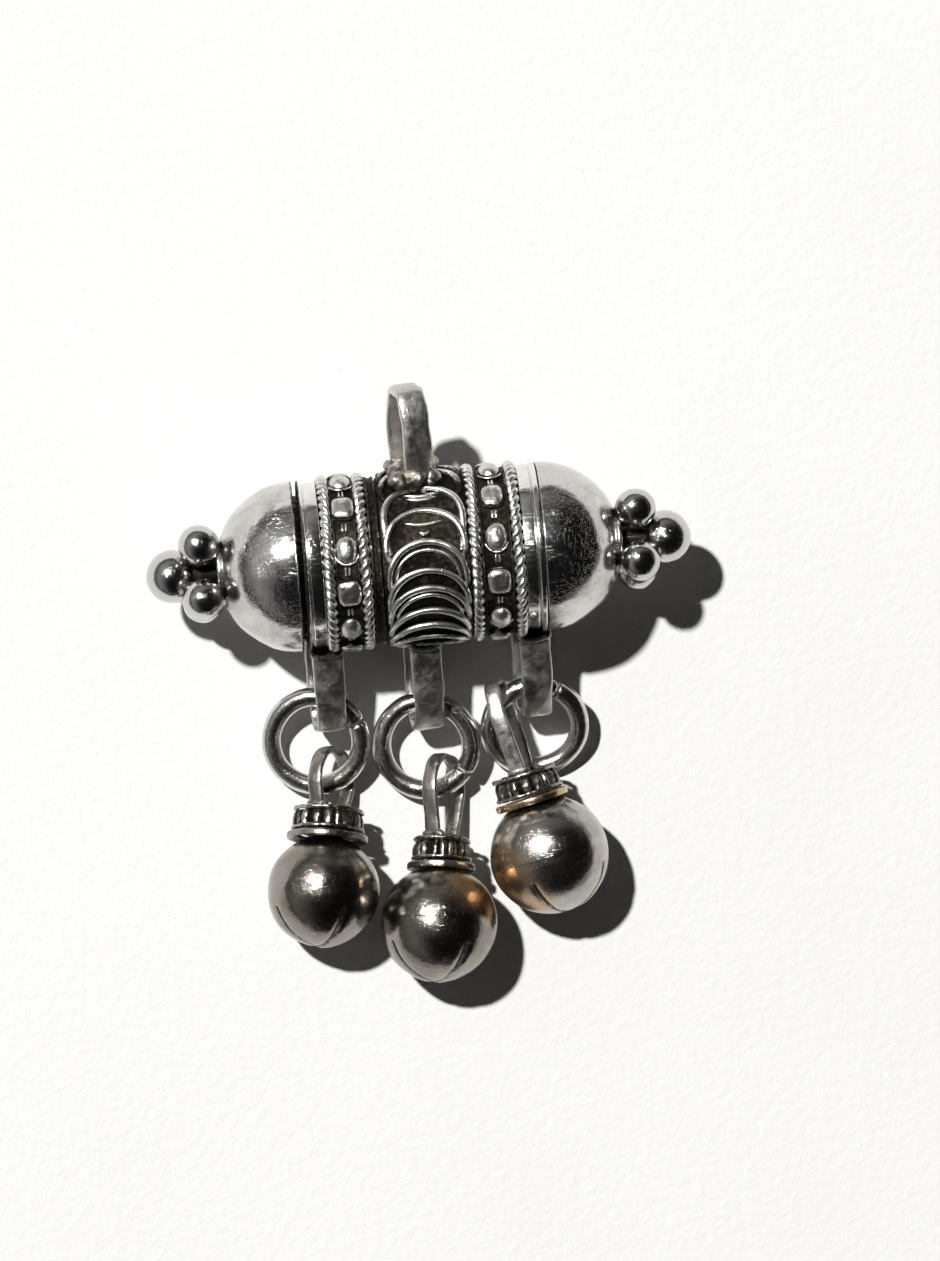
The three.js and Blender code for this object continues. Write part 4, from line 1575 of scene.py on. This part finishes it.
@dataclass
class Scroll:
    """The rolled paper in the case."""

    wardrobe: Wardrobe
    radius: float = 3.06
    sheet: float = 0.42
    gap: float = 0.3
    turns: int = 3

    def build(self) -> None:
        """Rolls the sheet up along the tube."""
        low, high = (np.array(corner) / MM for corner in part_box("scroll"))
        middle = (low + high) / 2
        steps = 60 * self.turns
        turn = np.linspace(0.0, 2.0 * math.pi * self.turns, steps + 1)
        outer = self.radius - (self.sheet + self.gap) * turn / (2.0 * math.pi) * 0.985
        x = np.linspace(low[0] + 0.05, high[0] - 0.05, 60)
        rows = []
        for radius in (outer, (outer - self.sheet)[::-1]):
            around = turn if radius is outer else turn[::-1]
            shape = 1.0 - 0.012 * np.cos(around * 0.7)
            y, z = radius * shape * np.cos(around), radius * shape * np.sin(around)
            rows.append(np.stack([y, z], axis=-1))
        section = np.concatenate(rows)
        y = middle[1] + section[:, 0]
        z = middle[2] + section[:, 1]
        points = np.empty((len(x), len(section), 3))
        points[..., 0] = x[:, None]
        points[..., 1] = y[None, :]
        points[..., 2] = z[None, :]
        surface = Surface()
        surface.grid(points, 0.8)
        piece = surface.build("paper_scroll", 60.0)
        hammer(piece, 3.0, 0.03, 71)
        self.wardrobe.fit(piece, SCROLL_PAPER, "scroll", "scroll", "old_paper")


# ---------------------------------------------------------------- rings and bells


@dataclass
class JumpRing:
    """A jump ring of thick wire, cut through at one place."""

    wardrobe: Wardrobe
    side: str
    slope: float
    tilt: float
    cut: float
    radius: float = 4.1
    wire: float = 0.875
    opening: float = 0.3

    def build(self) -> None:
        """Bends the wire round, with its ends filed a little round."""
        turn = turn_about("X", self.slope) @ turn_about("Y", -self.tilt)
        top = Vector(hinge(f"ring_{self.side}_swing").at)
        centre = top - turn @ Vector((0.0, self.radius, 0.0))
        place = Place(tuple(centre), turn)
        half = self.opening / 2 / self.radius
        start = math.radians(self.cut) + half
        sweep = np.linspace(start, start + 2.0 * math.pi - 2.0 * half, 170)
        seed = float(self.cut)
        radius = self.radius * (1.0 + 0.006 * np.sin(3.0 * sweep + seed))
        ring = [radius * np.cos(sweep), radius * np.sin(sweep), 0.0 * sweep]
        path = place.out(np.stack(ring, axis=-1))
        from_end = np.minimum(sweep - sweep[0], sweep[-1] - sweep) * self.radius
        end = 0.90 + 0.10 * smoothstep(0.0, 0.18, from_end)
        swell = self.wire * end * (1.0 + 0.012 * np.sin(7.0 * sweep + seed))
        up = np.array(turn @ Vector((0.0, 0.0, 1.0)))
        surface = Surface()
        worn = (0.55 + 0.42 * smoothstep(0.0, 0.7, from_end))[:, None]
        surface.pipe(path, swell, swell * 0.985, up, sides=28, relief=worn)
        piece = surface.build(f"ring_wire_{self.side}", 60.0)
        hammer(piece, 2.2, 0.035, 81 + int(seed))
        self.wardrobe.fit(piece, RING, f"ring_{self.side}", f"jump_ring_{self.side}", "polished_silver")


@dataclass
class Bell:
    """A round bell: two half balls, a flange, a notched crown, a strap to hang it by and a pellet."""

    wardrobe: Wardrobe
    side: str
    radius: float
    crown_radius: float
    slit_turn: float
    spin: float
    reach: float
    brown_side: tuple[tuple[float, float, float], float, float]
    wall: float = 0.5
    rim: float = 2.0
    wide: float = 0.36
    thin: float = 0.22
    seam: float = 0.15
    flange_edge: float = 0.35
    flange_height: float = 0.7
    crown_height: float = 2.0
    notches: int = 18
    notch: float = 0.35
    gap: float = 0.3
    pellet: float = 1.3
    hanger_span: float = 6.1
    hanger_width: float = 1.8
    hanger_thick: float = 0.55
    hanger_flat: float = 1.2
    hanger_foot: float = 0.7
    hanger_tall: float = 3.2

    @property
    def body(self) -> str:
        """The body that the bell rides on."""
        return f"bell_{self.side}"

    @property
    def place(self) -> Place:
        """The bell's frame: X points to the strap's top, Y along its eye."""
        roll = hinge(f"pellet_{self.side}_roll")
        away = Vector(roll.axis).normalized()
        sideways = away.cross(Vector((0.0, 0.0, 1.0))).normalized()
        level = sideways.cross(away)
        angle = math.radians(self.spin)
        eye = level * math.cos(angle) + sideways * math.sin(angle)
        across = away.cross(eye)
        axes = Matrix((away, eye, across)).transposed()
        return Place(tuple(roll.at), axes)

    @property
    def crown_base(self) -> float:
        """Where the crown starts on the bell's axis."""
        return self.radius + self.seam + self.gap

    @property
    def seed(self) -> int:
        """A number of this bell's own."""
        return 100 + int(self.radius * 100)

    def half_ball(self, up: int) -> list[tuple[float, float]]:
        """The profile of a half ball with its wall.

        Args:
            up: 1 for the upper half and -1 for the lower.

        Returns:
            Pairs of radius and place along the axis.
        """
        sweep = np.linspace(math.pi / 2, 0.0, 34)
        inner = self.radius - self.wall
        outside = [(self.radius * math.cos(t), up * self.radius * math.sin(t)) for t in sweep]
        inside = [(inner * math.cos(t), up * inner * math.sin(t)) for t in sweep[::-1]]
        outside[0], inside[-1] = (0.0, up * self.radius), (0.0, up * inner)
        return [*outside[:-1], (self.radius, 0.0), (inner, 0.0), *inside[1:]]

    def shells(self) -> None:
        """Raises the two half balls and saws the slits in the lower one."""
        place = self.place
        seed = self.seed

        def uneven(x: Points, angle: Points) -> Points:
            """A half ball that was pressed a little out of round."""
            return 0.03 * np.sin(2.0 * angle + seed) - 0.03 + 0.015 * np.sin(5.0 * angle + x)

        worn = worn_outwards(0.0, 0.02, 0.65, 0.25)
        upper = Surface()
        upper.revolve(self.half_ball(1), place, 128, worn, uneven, closed=False)
        top = upper.build(f"bell_top_{self.side}", 50.0)
        hammer(top, 3.6, 0.07, seed)
        self.warm_up(top)
        finish = BELL if self.side == "right" else DARK_BELL
        self.wardrobe.fit(top, finish, self.body, f"bell_upper_{self.side}", "worn_silver")
        lower = Surface()
        lower.revolve(self.half_ball(-1), place, 128, worn, uneven, closed=False)
        cup = lower.build(f"bell_cup_{self.side}", 50.0)
        trim(cup, [self.saw(self.wide, self.slit_turn), self.saw(self.thin, self.slit_turn + 90.0)])
        self.soften_slits(cup)
        hammer(cup, 3.6, 0.07, seed)
        self.warm_up(cup)
        self.wardrobe.fit(cup, finish, self.body, f"bell_lower_{self.side}", "worn_silver")

    def warm_up(self, shell: bpy.types.Object) -> None:
        """Marks where a half ball has gone brown.

        Args:
            shell: The half ball.
        """
        layer = shell.data.attributes.new("warmth", "FLOAT", "POINT").data
        centre = Vector(self.place.origin)
        towards, spread, most = self.brown_side
        for vertex, warm in zip(shell.data.vertices, layer):
            side = (vertex.co / MM - centre).normalized().dot(Vector(towards).normalized())
            warm.value = most * max(0.0, (side - spread) / (1.0 - spread))

    def slit_side(self, turn: float) -> Vector:
        """The direction across a slit, in the part frame."""
        angle = math.radians(turn)
        return Vector(self.place.axes @ Vector((0.0, math.cos(angle), math.sin(angle))))

    def saw(self, width: float, turn: float) -> bpy.types.Object:
        """A blade that cuts one slit.

        Args:
            width: The slit's width.
            turn: Its turn about the bell's axis.

        Returns:
            The cutter.
        """
        across = self.slit_side(turn)
        down = Vector(self.place.axes.col[0]) * -1.0
        along = across.cross(down)
        middle = Vector(self.place.origin) + down * (self.rim + self.radius)
        blade = bpy.data.meshes.new("blade")
        shape = bmesh.new()
        bmesh.ops.create_cube(shape, size=1.0)
        size = Vector((width, 2.0 * self.radius, 3.0 * self.radius))
        for vertex in shape.verts:
            local = Vector(a * b for a, b in zip(vertex.co, size))
            vertex.co = (middle + across * local.x + down * local.y + along * local.z) * MM
        bmesh.ops.recalc_face_normals(shape, faces=shape.faces)
        shape.to_mesh(blade)
        shape.free()
        made = bpy.data.objects.new("blade", blade)
        bpy.context.scene.collection.objects.link(made)
        return made

    def soften_slits(self, cup: bpy.types.Object) -> None:
        """Presses the slits' edges in a little, and darkens them.

        Args:
            cup: The sawn half ball.
        """
        centre = Vector(self.place.origin)
        down = Vector(self.place.axes.col[0]) * -1.0
        slits = ((self.slit_turn, self.wide), (self.slit_turn + 90.0, self.thin))
        blades = [(self.slit_side(turn), width) for turn, width in slits]
        relief = cup.data.attributes["relief"].data
        for vertex, worn in zip(cup.data.vertices, relief):
            at = vertex.co / MM - centre
            if at.dot(down) < self.rim:
                continue
            near = min(abs(at.dot(across)) - width / 2 for across, width in blades)
            press = 0.10 * math.exp(-((max(near, 0.0) / 0.22) ** 2))
            vertex.co -= at.normalized() * press * MM
            worn.value = min(worn.value, 0.30 + 0.65 * min(1.0, max(near, 0.0) / 0.22))

    def flange(self) -> None:
        """Turns the flange: a dished ring with a rolled edge on the ball's shoulder."""
        top = self.radius + self.seam
        low = top - self.flange_height
        edge = self.crown_radius + self.flange_edge
        shape = [
            (edge - 0.95, top - 0.05),
            (edge - 0.55, top - 0.12),
            (edge - 0.12, top - 0.02),
            (edge, top - 0.16),
            (edge, low + 0.12),
            (edge - 0.14, low + 0.02),
            (edge - 0.45, low + 0.16),
            (edge - 0.95, low + 0.42),
        ]

        def dished(x: Points, angle: Points) -> Points:
            """A little wavy at the edge."""
            return 0.04 * np.sin(4.0 * angle + self.seed)

        surface = Surface()
        worn = worn_outwards(edge - 0.6, edge, 0.35, 0.55)
        surface.revolve(tooled(shape, 0.10), self.place, 144, worn, dished)
        piece = surface.build(f"bell_flange_ring_{self.side}", 60.0)
        hammer(piece, 0.9, 0.04, self.seed + 1)
        finish = BROWNED if self.side == "right" else HANGER
        slot = "brown_tarnish" if self.side == "right" else "blackened_silver"
        self.wardrobe.fit(piece, finish, self.body, f"bell_flange_{self.side}", slot)

    def crown(self) -> None:
        """Builds the crown: a drum of upright lumps between dark notches, with a wire on its top."""
        base, height, edge = self.crown_base, self.crown_height, self.crown_radius
        rows = np.linspace(0.0, 1.0, 15)
        angles = np.linspace(0.0, 2.0 * math.pi, self.notches * 14, endpoint=False)
        level, angle = np.meshgrid(rows, angles, indexing="ij")
        bent = angle + 0.05 * np.sin(5.0 * angle + self.seed) + 0.03 * np.sin(11.0 * angle)
        phase = np.abs(np.sin(bent * self.notches / 2))
        lump = np.power(phase, 0.55) * (0.86 + 0.14 * np.sin(7.0 * angle + self.seed))
        bulge = np.sqrt(np.clip(1.0 - (2.0 * level - 0.86) ** 2 * 0.80, 0.0, 1.0))
        radius = edge - self.notch * 1.25 * (1.0 - lump) - 0.42 * (1.0 - bulge)
        along = base - 0.12 + level * (height - 0.28)
        place = self.place
        wall = np.stack([along, -radius * np.sin(angle), radius * np.cos(angle)], axis=-1)
        surface = Surface()
        surface.grid(place.out(wall), np.clip(lump * 1.15 - 0.22, 0.0, 1.0) * (0.35 + 0.65 * bulge))
        top = base + height
        lid = [(0.0, top - 0.34), (edge - 0.62, top - 0.34), (edge - 0.5, top - 0.5), (0.0, top - 0.6)]
        surface.revolve(lid, place, 96, 0.18, closed=False)
        turn = np.linspace(0.0, 2.0 * math.pi, 140, endpoint=False)
        out = outward(place, turn)
        for at, ring, wire in ((top - 0.22, edge - 0.30, 0.20), (base + 0.04, edge - 0.12, 0.17)):
            path = place.out(round_tube(at + 0.0 * turn, ring, turn))
            surface.pipe(path, wire, wire, out, closed=True, sides=10, relief=0.72)
        piece = surface.build(f"bell_crown_drum_{self.side}", 60.0)
        hammer(piece, 0.7, 0.09, self.seed + 2)
        self.wardrobe.fit(piece, CROWN, self.body, f"bell_crown_{self.side}", "blackened_silver")

    def hanger(self) -> None:
        """Bends the strap and solders its feet on the crown."""
        base = self.crown_base + self.crown_height + self.gap
        turn = Matrix(((0.0, 1.0, 0.0), (0.0, 0.0, 1.0), (1.0, 0.0, 0.0)))
        upright = self.place.within((base, 0.0, 0.0), turn)
        foot = 2.0 * self.crown_radius * self.hanger_foot
        width = self.hanger_width * 0.80
        thick, flat, tall = self.hanger_thick, self.hanger_flat, self.hanger_tall
        bow = Bow(self.hanger_span, self.reach, width, thick, flat, foot, tall)
        strap = Surface()
        bow.sweep(strap, upright, -0.42, 3.0, 0.03)
        piece = strap.build(f"bell_strap_{self.side}", 70.0)
        hammer(piece, 1.5, 0.05, self.seed + 3)
        finish = STRAP if self.side == "right" else HANGER
        self.wardrobe.fit(piece, finish, self.body, f"bell_hanger_{self.side}", "worn_silver")
        solder = Surface()
        half = (foot - self.hanger_thick) / 2
        for hand in (-1, 1):
            seat = upright.within((hand * half, -0.2, 0.0), turn_about("X", -90.0))
            radii = (0.46, self.hanger_width * 0.60, 0.5)
            solder.blob(ORIGIN, radii, seat, 28, 2.6, lambda h: 0.4 + 0.3 * h)
        lump = solder.build(f"strap_solder_{self.side}", 80.0)
        hammer(lump, 0.7, 0.08, self.seed + 4)
        self.wardrobe.fit(lump, SOLDER, self.body, f"bell_hanger_{self.side}", "worn_silver")

    def ball(self) -> None:
        """Builds the pellet at the bottom of the bell, rough and blackened."""
        at = hinge(f"pellet_{self.side}_roll").at
        middle = (float(at[0]), float(at[1]), self.wall + self.gap + self.pellet)
        here = Place(middle, Matrix.Identity(3))
        surface = Surface()
        surface.blob(ORIGIN, (self.pellet * 0.97,) * 3, here, 36, 2.0, 0.55)
        piece = surface.build(f"pellet_ball_{self.side}", 80.0)
        hammer(piece, 0.8, 0.05, self.seed + 5)
        own = f"pellet_{self.side}"
        self.wardrobe.fit(piece, BLACKENED, own, own, "blackened_silver")

    def build(self) -> None:
        """Builds the whole bell."""
        self.shells()
        self.flange()
        self.crown()
        self.hanger()
        self.ball()


# ---------------------------------------------------------------- studio


@dataclass
class Studio:
    """The paper, the lamps, the world and the camera. Lengths in metres, angles in degrees."""

    wardrobe: Wardrobe
    looks_at: tuple[float, float, float] = (0.00405, 0.00448, 0.008)
    roll: float = -4.67
    lean: float = 2.5
    distance: float = 0.575
    frame_height: float = 0.1135
    sensor: float = 36.0
    clip: tuple[float, float] = (0.01, 10.0)
    light_from: tuple[float, float, float] = (-0.335, 0.375, 0.865)
    lamp_distance: float = 3.0
    lamp_size: float = 0.13
    lamp_power: float = 149.0
    lamp_colour: Colour = (1.0, 0.985, 0.96)
    sheet_size: float = 1.6
    sheet_points: int = 41
    dark_side: tuple[float, float, float] = (0.56, -0.30, 0.77)
    sky_levels: tuple[tuple[float, float], ...] = (
        (0.0, 0.26),
        (0.24, 0.14),
        (0.44, 0.03),
        (0.62, 0.006),
    )
    low_sky: tuple[float, float] = (0.02, 0.40)
    horizon: float = 0.12

    def camera(self) -> None:
        """Puts the camera nearly straight above, turned and leaned as the photograph was taken."""
        lens = bpy.data.cameras.new("camera")
        lens.sensor_fit = "VERTICAL"
        lens.sensor_height = self.sensor
        lens.lens = self.sensor * self.distance / self.frame_height
        lens.clip_start, lens.clip_end = self.clip
        turn = turn_about("Z", self.roll) @ turn_about("Y", -self.lean)
        back = turn @ Vector((0.0, 0.0, self.distance))
        made = bpy.data.objects.new("camera", lens)
        made.matrix_world = Matrix.Translation(Vector(self.looks_at) + back) @ turn.to_4x4()
        bpy.context.scene.collection.objects.link(made)
        bpy.context.scene.camera = made

    def lamp(self) -> None:
        """Hangs a small round lamp where the sun stood."""
        light = bpy.data.lights.new("key_lamp", "AREA")
        light.shape = "DISK"
        light.size = self.lamp_size
        light.energy = self.lamp_power
        light.color = self.lamp_colour
        towards = Vector(self.light_from).normalized()
        made = bpy.data.objects.new("key_lamp", light)
        made.location = Vector(self.looks_at) + towards * self.lamp_distance
        made.rotation_euler = towards.to_track_quat("Z", "Y").to_euler()
        bpy.context.scene.collection.objects.link(made)

    def sky(self) -> None:
        """Makes the world: dark overhead, to the right and at the horizon, lighter halfway up to the left."""
        world = bpy.data.worlds.new("sky")
        world.use_nodes = True
        bpy.context.scene.world = world
        tree = world.node_tree
        where = tree.nodes.new("ShaderNodeTexCoord")
        towards = tree.nodes.new("ShaderNodeVectorMath")
        towards.operation = "DOT_PRODUCT"
        towards.inputs[1].default_value = Vector(self.dark_side).normalized()
        ramp = tree.nodes.new("ShaderNodeValToRGB")
        ramp.color_ramp.interpolation = "EASE"
        for i, (position, level) in enumerate(self.sky_levels):
            stop = ramp.color_ramp.elements[i] if i < 2 else ramp.color_ramp.elements.new(position)
            stop.position = position
            stop.color = (level, level, level, 1.0)
        tree.links.new(where.outputs["Generated"], towards.inputs[0])
        tree.links.new(towards.outputs["Value"], ramp.inputs[0])
        tree.links.new(ramp.outputs[0], tree.nodes["Background"].inputs[0])
        height = tree.nodes.new("ShaderNodeSeparateXYZ")
        rise = tree.nodes.new("ShaderNodeMapRange")
        rise.interpolation_type = "SMOOTHSTEP"
        for number, value in enumerate((*self.low_sky, self.horizon, 1.0), start=1):
            rise.inputs[number].default_value = value
        tree.links.new(where.outputs["Generated"], height.inputs[0])
        tree.links.new(height.outputs["Z"], rise.inputs[0])
        tree.links.new(rise.outputs[0], tree.nodes["Background"].inputs[1])

    def paper(self) -> None:
        """Lays the sheet under the pendant."""
        half = self.sheet_size / 2 / MM
        steps = np.linspace(-half, half, self.sheet_points)
        x, y = np.meshgrid(steps, steps, indexing="ij")
        sheet = Surface()
        sheet.grid(np.stack([x, y, 0.0 * x], axis=-1), 1.0, wrap_v=False, caps=False)
        piece = sheet.build("paper_sheet")
        if piece.data.polygons[0].normal.z < 0.0:
            piece.data.flip_normals()
        self.wardrobe.dress(piece, SHEET)

    def build(self) -> None:
        """Sets everything up."""
        self.camera()
        self.lamp()
        self.sky()
        self.paper()
        bpy.context.scene.view_settings.view_transform = "Standard"


# ---------------------------------------------------------------- the pendant


def main() -> None:
    """Builds the pendant and its studio."""
    logging.basicConfig(level=logging.INFO, format="%(name)s: %(message)s")
    wardrobe = Wardrobe()
    Studio(wardrobe).build()
    tube = tube_place(TUBE_ROLL)
    barrel = Barrel(wardrobe, tube)
    barrel.build()
    ScaleField(wardrobe, barrel).build()
    Bail(wardrobe, tube).build()
    StrapLoop(wardrobe, tube, "left", x=-9.35, reach=7.35).build()
    StrapLoop(wardrobe, tube, "mid", x=-0.5, reach=7.95, lump=-0.9).build()
    StrapLoop(wardrobe, tube, "right", x=9.35, reach=7.55).build()
    cap = tube.within((LEFT_DOME_X, 0.0, 0.0), turn_about("Z", 180.0))
    DomedEnd(wardrobe, cap, End.LEFT, phase=-23.0, body="cap_left").build()
    CapPlug(wardrobe, cap).build()
    right = tube.within((RIGHT_DOME_X, 0.0, 0.0), Matrix.Identity(3))
    DomedEnd(wardrobe, right, End.RIGHT, phase=18.0, body="barrel").build()
    Scroll(wardrobe).build()
    JumpRing(wardrobe, "left", slope=11.0, tilt=10.0, cut=22.0).build()
    JumpRing(wardrobe, "mid", slope=10.0, tilt=10.0, cut=-36.0).build()
    JumpRing(wardrobe, "right", slope=26.0, tilt=0.0, cut=60.0).build()
    Bell(
        wardrobe,
        "left",
        radius=5.1,
        crown_radius=3.3,
        slit_turn=59.0,
        spin=56.0,
        reach=5.35,
        brown_side=((0.3, 1.0, 0.5), 0.6, 0.35),
    ).build()
    Bell(
        wardrobe,
        "mid",
        radius=5.35,
        crown_radius=2.7,
        slit_turn=60.0,
        spin=60.0,
        reach=7.4,
        brown_side=((0.75, 0.65, 0.45), 0.55, 0.9),
    ).build()
    Bell(
        wardrobe,
        "right",
        radius=5.4,
        crown_radius=3.05,
        slit_turn=75.0,
        spin=76.0,
        reach=8.45,
        brown_side=((-0.8, -0.45, 0.35), 0.35, 1.0),
    ).build()


if __name__ == "__main__":
    main()
